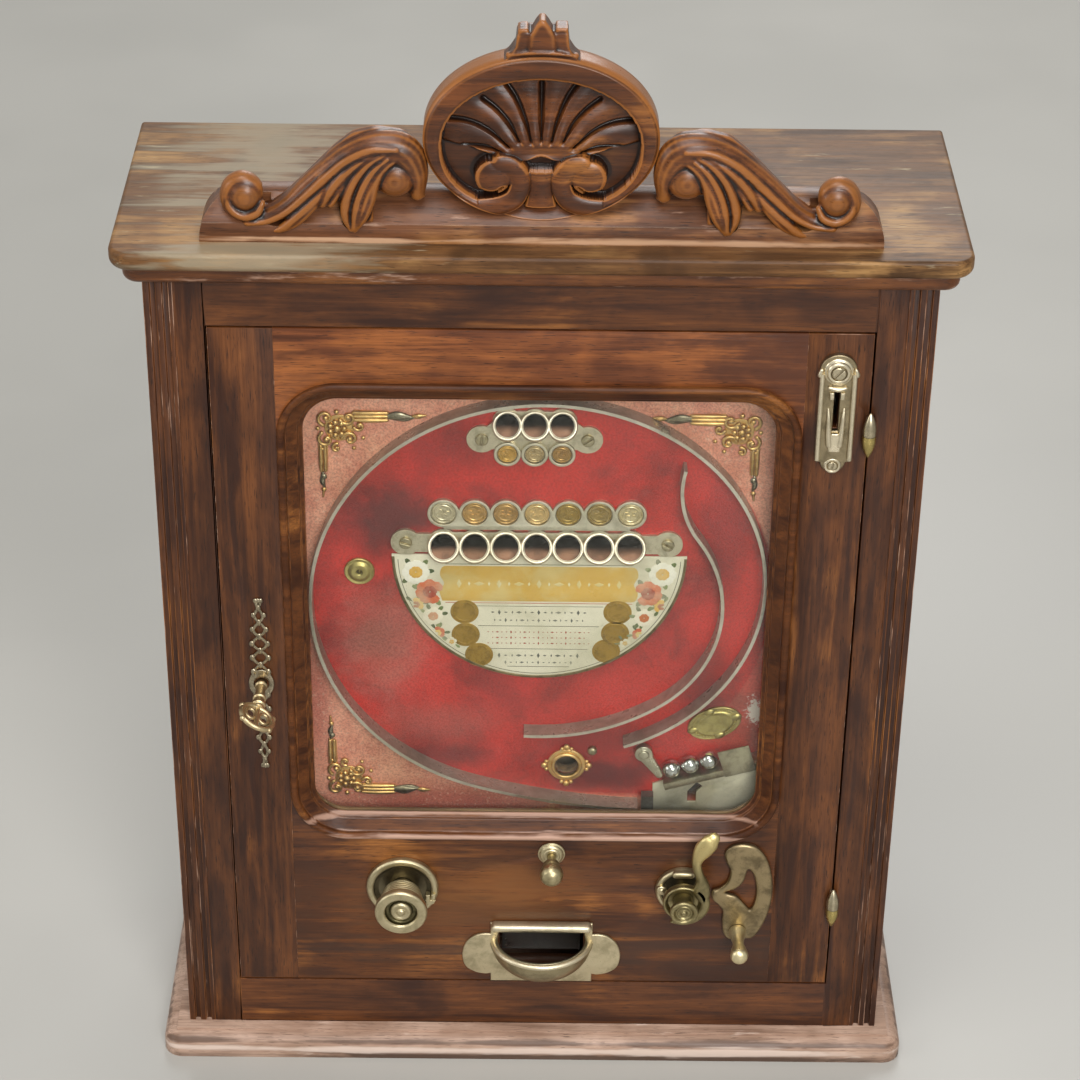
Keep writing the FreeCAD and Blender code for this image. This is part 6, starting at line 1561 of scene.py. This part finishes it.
        # Painted shade inside the bowl and along the seam round it.
        inner = plated("tray_bowl_inside_painted_shade", "#A89C7E", "#3A3424", 0.34, 0.6, 10, 0.5)
        x, top, low, r = 5.5, 75.5, 40.0, 35.0
        lobe = [tuple(p) for p in flowing([(x + 35, 46.6), (x + 39, 46), (x + 46, 47.8), (x + 52.4, 53),
            (x + 54.5, 63), (x + 52, 73), (x + 46, 79.4), (x + 40, 81.4), (x + 35, 81.4)], 5)]
        wings = [(x + 35, low), *lobe, (x + 35, 91), (x - 35, 91)]
        wings += [(2 * x - u, v) for u, v in reversed(lobe)] + [(x - 35, low)]
        mouth = [(x - 29, 83), *[(x + 30 * cos(a), top + 21 * sin(a)) for a in np.linspace(pi, 2 * pi, 40)],
            (x + 29, 83)]
        sweep = np.linspace(0.05, pi - 0.05, 49)
        rim = [(x + 33.2 * cos(a), -30 * sin(a), top - 0.6) for a in sweep]
        seam = [(x + 34.6 * cos(a), -2.4, top - 27.4 * sin(a)) for a in sweep]
        shapes = [(slab(wings, -2.4, 0, [mouth], ease=0.9, steps=3), 0),
            (strand([(x - 32, -4.2, 89.6, 2.9, 4.2), (x + 31.5, -4.2, 89.6, 2.9, 4.2)], 12, 20, flat=3.0),
            2), (self.bowl(x, top, r, 3.0), 3), (self.bowl(x, top, r - 2.9, 0.1), 1),
            (pipe(rim, 1.9, closed=False), 2), (pipe(seam, 0.8, normal=(0, 1, 0), closed=False), 1)]
        bright = plated("tray_rubbed_lip", "#E6DABC", "#94896A", 0.4, 0.3, 9, 0.25)
        under = plated("tray_bowl_outside", "#AC9F7E", "#554C34", 0.36, 0.5, 12, 0.4)
        wrought("payout_tray", "cast", shapes, [outer, inner, bright, under], "door", "nickel")

    def bowl(self, x, top, r, wall, rows=14, sides=48):
        """Quarter of a flattened round bowl below and before a point, with walls of a thickness."""
        grid = [(r, k / rows) for k in range(rows + 1)] + [(r - wall, 1 - k / rows) for k in range(rows + 1)]
        verts = []
        for far, turn in grid:
            drop = turn * pi / 2
            for k in range(sides + 1):
                a = pi * k / sides
                reach_out = far * sin(a)
                verts.append((x + far * cos(a), -0.9 * reach_out * cos(drop),
                    top - 0.786 * reach_out * sin(drop)))
        count = sides + 1
        faces = [(i * count + k, i * count + k + 1, (i + 1) % len(grid) * count + k + 1,
            (i + 1) % len(grid) * count + k) for i in range(len(grid)) for k in range(sides)]
        return verts, faces


class PIN_OT_lock(bpy.types.Operator):
    """Lock, coin entry and hinges: pierced escutcheon, key with an openwork bow, coin plate, olive hinges"""
    bl_idname = "pin_game.lock"
    bl_label = "Lock, coin entry and hinges"

    def execute(self, context):
        self.escutcheon()
        self.key()
        self.coin_plate()
        shell = plated("hinge_nickel", "#B9AD92", "#574F3A", 0.26, 0.35, 6, 0.3)
        olive = plated("hinge_brass", "#C2AE6E", "#4C4222", 0.26, 0.35, 6, 0.3)
        for node, body, look in (("hinge_door_leaves", "door", shell), ("hinge_case_leaves", "case", olive)):
            recut(node, "turned", [look], 0, body, "brass")
        return {"FINISHED"}

    def escutcheon(self):
        """Pierced nickel: two wires that cross up a spine, a bud on each bend, a collar at the keyhole."""
        look = plated("pierced_nickel", "#A89C84", "#3A3224", 0.26, 0.6, 3, 0.5)
        x, z = KEYHOLE
        parts = [slab(ring(x, z, 8.3, 44, 1.3), -1.6, -0.05, [ring(x, z, 4.9, 36)], ease=0.6, steps=3)]
        for way, rise, wide in ((1, 66.0, 5.6), (-1, 68.0, 4.4)):
            bends = 5

            def swell(t):
                """Half the width of the crossing wires, from the keyhole at 0 to the tip at 1."""
                return wide * (0.72 + 0.6 * t - 1.15 * t * t)

            def level(t):
                return z + way * (9 + (rise - 11) * t)
            for side in (-1, 1):
                line = [(x + side * swell(t) * sin(pi * (bends * t + 0.5)), -0.75 - 0.3 * side, level(t),
                    1.0, 0.7) for t in [k / (bends * 8) for k in range(bends * 8 + 1)]]
                parts.append(strand(line, 2, 10))
                for k in range(bends + 1):
                    t = k / bends
                    parts.append(ball(x + side * (swell(t) + 0.7) * (-1) ** k, -0.9, level(t), 2.0 - 0.5 * t,
                        deep=0.55, tall=1.25, sides=16))
            for k in range(bends):
                parts.append(ball(x, -1.0, level((k + 0.5) / bends), 1.7, deep=0.55, tall=1.5, sides=16))
            parts.append(ball(x, -0.9, z + way * (rise - 1.9), 1.5, deep=0.55, tall=1.25, sides=16))
        wrought("lock_escutcheon", "pierced", parts, [look], "door", "nickel")

    def key(self):
        """Cast brass key: turned shank and collar, a flat bit, and a bow of scrolls with four studs."""
        look = plated("cast_key_brass", "#CDB890", "#5C4C2E", 0.34, 0.35, 5, 0.3)
        (x, z), bow_y = KEYHOLE, -39.0
        shank = turned([(0, -29.6), (3, -29.2), (3.4, -27.4), (4.6, -26.6), (4.6, -23.8), (3.5, -22.8),
            (3.3, -20), (4.4, -19.2), (4.4, -17.6), (3.3, -16.8), (3.1, -6), (4.2, -4.8), (4.2, -4),
            (3, -3.6), (3, 27.1), (0, 27.1)], x, z, 36, ease=0.35)
        bit = turned_round(block(x - 1.2, x + 1.2, 19.9, 26.3, z, z + 9.5), x, z, 45)
        turns = circle(56)
        outer = [(x + 10.9 * copysign(abs(cos(a)) ** 0.86, cos(a)), bow_y + 10.6 * sin(a), z) for a in turns]
        bow = [pipe(outer, 1.9)]
        for side in (-1, 1):
            scroll = [(x + side * (4.7 + 3.5 * cos(a)), bow_y + 1.2 + 4.8 * sin(a), z) for a in turns]
            bow.append(pipe(scroll, 1.2))
            bow.append(ball(x + side * 11.0, bow_y + 5.4, z, 2.1, sides=16))
            bow.append(ball(x + side * 9.6, bow_y - 7.6, z, 1.9, sides=16))
        bow.append(pipe([(x, bow_y + 11, z), (x, bow_y, z), (x, bow_y - 10.4, z)], 1.5, closed=False))
        bow.append(ball(x, bow_y - 10.2, z, 2.0, sides=16))
        bow = [turned_round(shape, x, z, 30) for shape in bow]
        wrought("door_key", "cast", [shank, bit, *bow], [look], "door_key", "brass")

    def coin_plate(self):
        """Cast coin entry: ribbed sides, a stepped boss, wedge-shaped lips and a sill at the slot."""
        cast = plated("coin_plate_nickel", "#9A8C70", "#4E4430", 0.36, 0.5, 9, 0.45, "Z")
        lit = plated("coin_plate_rubbed", "#D9CDB2", "#8A8064", 0.3, 0.3, 8, 0.25, "Z")
        (x, z), top, low = COIN_SLOT, 525.0, 462.0
        slot = oblong(x - 1.7, x + 1.7, z - 13.5, z + 13.5)
        arch = sector(x, top, 0, 11.5, 0, 180, 24)
        body = arch + [(x - 11.5, low + 1), (x - 8.6, low - 1), (x + 8.6, low - 1), (x + 11.5, low + 1)]
        parts = [(slab(body, -4, 0, [slot], ease=0.7, steps=3), 0),
            (slab(ring(x, low - 0.6, 7.8, 36), -3.4, 0, ease=0.7, steps=3), 0),
            (turned([(0, -3.4), (3.0, -3.4), (3.6, -4.2), (4.8, -4.3), (5.6, -3.4), (5.6, -2), (0, -2)], x,
            low - 3.6, 36, ease=0.3), 1),
            (turned([(0, -5.4), (4.7, -5.4), (5.1, -6.8), (6.4, -7), (7.2, -6.2), (7.6, -5.2), (8.6, -5),
            (9.2, -4.4), (9.3, -3.6), (0, -3.6)], x, top, 56, ease=0.3), 1)]
        for side in (-1, 1):
            rail = [(x + side * 10.0, -4.2, low + 3, 1.5, 1.2), (x + side * 10.0, -4.6, low + 6, 1.6, 1.8),
                (x + side * 10.0, -4.6, top - 6, 1.6, 1.8), (x + side * 9.6, -4.4, top - 2, 1.5, 1.2)]
            scroll = [(x + side * 10.2, -3.4, top - 3, 1.4, 1.6), (x + side * 11.4, -4.2, top - 2, 1.7, 2),
                (x + side * 10.6, -4.4, top + 1.4, 1.2, 1.4)]
            lip = [(x + side * 4.9, -3.8, z + 2, 0.8, 0.9), (x + side * 4.4, -4.8, z - 5, 1.5, 2.0),
                (x + side * 3.9, -5.0, z - 15, 2.0, 2.2), (x + side * 3.2, -5.0, z - 23, 2.1, 2.2)]
            parts += [(strand(rail, 8, 14, flat=2.6), 1), (strand(scroll, 6, 12), 1),
                (strand(lip, 8, 14), 1)]
            cheek = oblong(x + side * 4.6, x + side * 1.9, z + 9, z + 13.8)[::side]
            parts.append((slab(cheek, -5.6, -3.6, ease=0.6), 1))
        sill = [(x - 3.6, z - 27.5), (x + 3.6, z - 27.5), (x + 4.4, z - 20), (x + 2.2, z - 14.4),
            (x - 2.2, z - 14.4), (x - 4.4, z - 20)]
        parts.append((slab(sill, -6.6, -3.5, ease=0.9, steps=3), 1))
        brow = [(x - 5, -4.6, z + 17, 1.2, 1.2), (x, -5.2, z + 16.2, 1.7, 1.6),
            (x + 5, -4.6, z + 17, 1.2, 1.2)]
        parts.append((strand(brow, 8, 14), 1))
        parts.append((slab(oblong(x - 3.4, x + 3.4, z + 14.6, z + 19.4), -4.9, -3.6, ease=0.4), 0))
        wrought("coin_entry_plate", "cast", parts, [cast, lit], "door", "nickel")
        screw = plated("worn_door_screw", "#BDB196", "#4A422E", 0.34, 0.4, 3, 0.35)
        heads = [(x, -5.3, top, 1.1, 40), (x, -3.3, low - 3.6, 0.75, 12), (THUMB_LEVER[0] - 12, -1.5, 118.5,
            0.66, 70)]
        worked(spread("door_screws.heads", slotted_head(), heads, screw), "door", "nickel", "door_screws")


class PIN_OT_works(bpy.types.Operator):
    """Works and glass: materials of the parts inside the case, and of the window"""
    bl_idname = "pin_game.works"
    bl_label = "Works and glass"

    def execute(self, context):
        sheet = plated("cut_steel_sheet", "#8E8A84", "#4A3A2E", 0.4, 0.45, 16, 0.35, "X")
        iron = plated("filed_steel", "#7E7A74", "#3E3024", 0.42, 0.5, 9, 0.45, "Z")
        tin = plated("tinned_sheet", "#B9B8B2", "#6E6A60", 0.3, 0.4, 24, 0.3, "Z")
        wire = plated("blued_spring_steel", "#5E5C60", "#2C2420", 0.3, 0.3, 5, 0.3)
        for look, nodes in ((sheet, ("coin_slide", "coin_slide_bed", "lock_case", "lock_keeper")),
                (iron, ("lock_bolt", "hammer", "payout_crank")),
                (tin, ("coin_chute", "coin_tube", "delivery_chute")), (wire, ("lever_spring",))):
            for node in nodes:
                dressed(node, look)
        dressed("window_glass", self.drawn_glass())
        return {"FINISHED"}

    def drawn_glass(self):
        """Old drawn window glass: clear, faintly green, with soft waves that bend its reflections."""
        made, tree, shader = blank("drawn_window_glass")
        tree.nodes.remove(shader)
        waves = grain(tree, (130, 130, 34), 2, 0.5)
        bump = add(tree, "Bump", {"Height": waves, "Strength": 0.12, "Distance": 0.0006})
        film = grain(tree, (60, 60, 60), 4, 0.6)
        tint = coat(tree, "#FBFCFA", film, 0.4, 0.7, 1.0, "#F4F5F1")
        clear = add(tree, "BsdfTransparent", {"Color": tint})
        gloss = add(tree, "BsdfGlossy", {"Color": linear("#E4E8E2"), "Roughness": 0.03, "Normal": bump})
        turn = add(tree, "LayerWeight", {"Blend": 0.5, "Normal": bump}, "Facing")
        steep = add(tree, "Math", {0: turn, 1: 5.0}, operation="POWER")
        share = add(tree, "Math", {0: steep, 1: 0.6, 2: 0.03}, operation="MULTIPLY_ADD")
        both = add(tree, "MixShader", {0: share, 1: clear, 2: gloss})
        output = next(node for node in tree.nodes if node.type == "OUTPUT_MATERIAL")
        tree.links.new(both, output.inputs["Surface"])
        return made


# Studio

FLOOR_REACH = 6000


class PIN_OT_stage(bpy.types.Operator):
    """Stage: floor, lamps, sky and camera"""
    bl_idname = "pin_game.stage"
    bl_label = "Studio"

    def execute(self, context):
        studio = context.scene.pin_game_studio
        corners = [(x, y, -BASE / MM) for x, y in oblong(-FLOOR_REACH, FLOOR_REACH, -FLOOR_REACH,
            FLOOR_REACH)]
        floor = placed("floor", corners, [(0, 1, 2, 3)], [self.painted_floor(studio.floor)])
        self.lamp("softbox above", (-0.25, -1.2, 2.7), (0, -0.05, 0.4), 1.6, 34)
        self.lamp("softbox front", (0.7, -2.9, 1.9), (0, 0, 0.3), 1.5, 72)
        self.lamp("softbox behind", (0.3, 2.7, 2.3), (0, 0.1, 0.5), 2.0, 42)
        self.lamp("softbox left", (-2.3, -0.9, 1.3), (0, 0, 0.35), 1.3, 12)
        world = bpy.data.worlds.new("studio")
        context.scene.world = world
        world.use_nodes = True
        tree = world.node_tree
        tree.nodes.clear()
        path = add(tree, "LightPath", out=None)
        sky = add(tree, "Background", {0: linear("#D6D8D4"), 1: 0.5})
        seen = add(tree, "Background", {0: linear("#D9DAD6"), 1: 0.75})
        either = add(tree, "Math", {0: path.outputs["Is Camera Ray"], 1: path.outputs["Is Glossy Ray"]},
            operation="MAXIMUM")
        both = add(tree, "MixShader", {0: either, 1: sky, 2: seen})
        add(tree, "OutputWorld", {0: both}, out=None)
        context.scene.view_settings.view_transform = "Standard"
        self.camera(studio)
        return {"FINISHED"}

    def painted_floor(self, paint):
        """Floor paint: rolled on concrete, slightly glossy, with soft clouds."""
        made, tree, shader = blank("painted_floor")
        cloud = grain(tree, (420, 420, 420), 3, 0.5)
        fine = grain(tree, (14, 14, 14), 3)
        shade = coat(tree, darker(paint, 0.93), cloud, 0.35, 0.65, 1.0, paint)
        rough = add(tree, "MapRange", {0: cloud, 1: 0.3, 2: 0.7, 3: 0.34, 4: 0.44})
        surface(tree, shader, shade, rough, fine, 0.3, 0.15)
        return made

    def lamp(self, name, place, target, size, power):
        """Round soft lamp that looks at a target; its power is in watts."""
        light = bpy.data.lights.new(name, "AREA")
        light.shape = "DISK"
        light.size = size
        light.energy = power
        made = stood(name, light)
        made.location = place
        made.rotation_euler = (Vector(target) - Vector(place)).to_track_quat("-Z", "Y").to_euler()

    def camera(self, studio):
        """Camera from its place, how far it looks down and to the side, and its roll."""
        data = bpy.data.cameras.new("camera")
        data.lens = studio.lens
        data.sensor_width = 36
        data.sensor_fit = "HORIZONTAL"
        data.clip_end = 50
        made = stood("camera", data)
        down, side, roll = studio.down, studio.side, studio.roll
        ahead = Vector((sin(side) * cos(down), cos(side) * cos(down), -sin(down)))
        right = Vector((cos(side), -sin(side), 0))
        up = right.cross(ahead)
        right, up = (right * cos(roll) + up * sin(roll), up * cos(roll) - right * sin(roll))
        turn = Matrix((right, up, -ahead)).transposed().to_4x4()
        made.matrix_world = Matrix.Translation(studio.place) @ turn
        bpy.context.scene.camera = made


class PIN_PT_panel(bpy.types.Panel):
    """Buttons for the pieces, and their sizes and colours"""
    bl_idname = "PIN_PT_panel"
    bl_label = "Pin game"
    bl_space_type = "VIEW_3D"
    bl_region_type = "UI"
    bl_category = "Pin game"

    def draw(self, context):
        for operator in OPERATORS:
            self.layout.operator(operator.bl_idname, text=operator.bl_label)
        for name, group in SETTINGS.items():
            box = self.layout.box()
            box.label(text=group.__doc__)
            for key in group.__annotations__:
                box.prop(getattr(context.scene, name), key)


SETTINGS = {"pin_game_wood": WoodSettings, "pin_game_metal": MetalSettings, "pin_game_field": FieldSettings,
    "pin_game_carving": CarvingSettings, "pin_game_studio": StudioSettings}
OPERATORS = [PIN_OT_case, PIN_OT_door, PIN_OT_crest, PIN_OT_playfield, PIN_OT_launcher, PIN_OT_controls,
    PIN_OT_lock, PIN_OT_works, PIN_OT_stage]


def register():
    for item in [*SETTINGS.values(), *OPERATORS, PIN_PT_panel]:
        bpy.utils.register_class(item)
    for name, group in SETTINGS.items():
        setattr(bpy.types.Scene, name, bpy.props.PointerProperty(type=group))


def unregister():
    for name in SETTINGS:
        delattr(bpy.types.Scene, name)
    for item in [PIN_PT_panel, *reversed(OPERATORS), *reversed(SETTINGS.values())]:
        bpy.utils.unregister_class(item)


def main():
    register()
    for operator in OPERATORS:
        group, call = operator.bl_idname.split(".")
        result = getattr(getattr(bpy.ops, group), call)()
        if result != {"FINISHED"}:
            raise RuntimeError(operator.bl_label + " didn't finish")


if __name__ == "__main__":
    main()
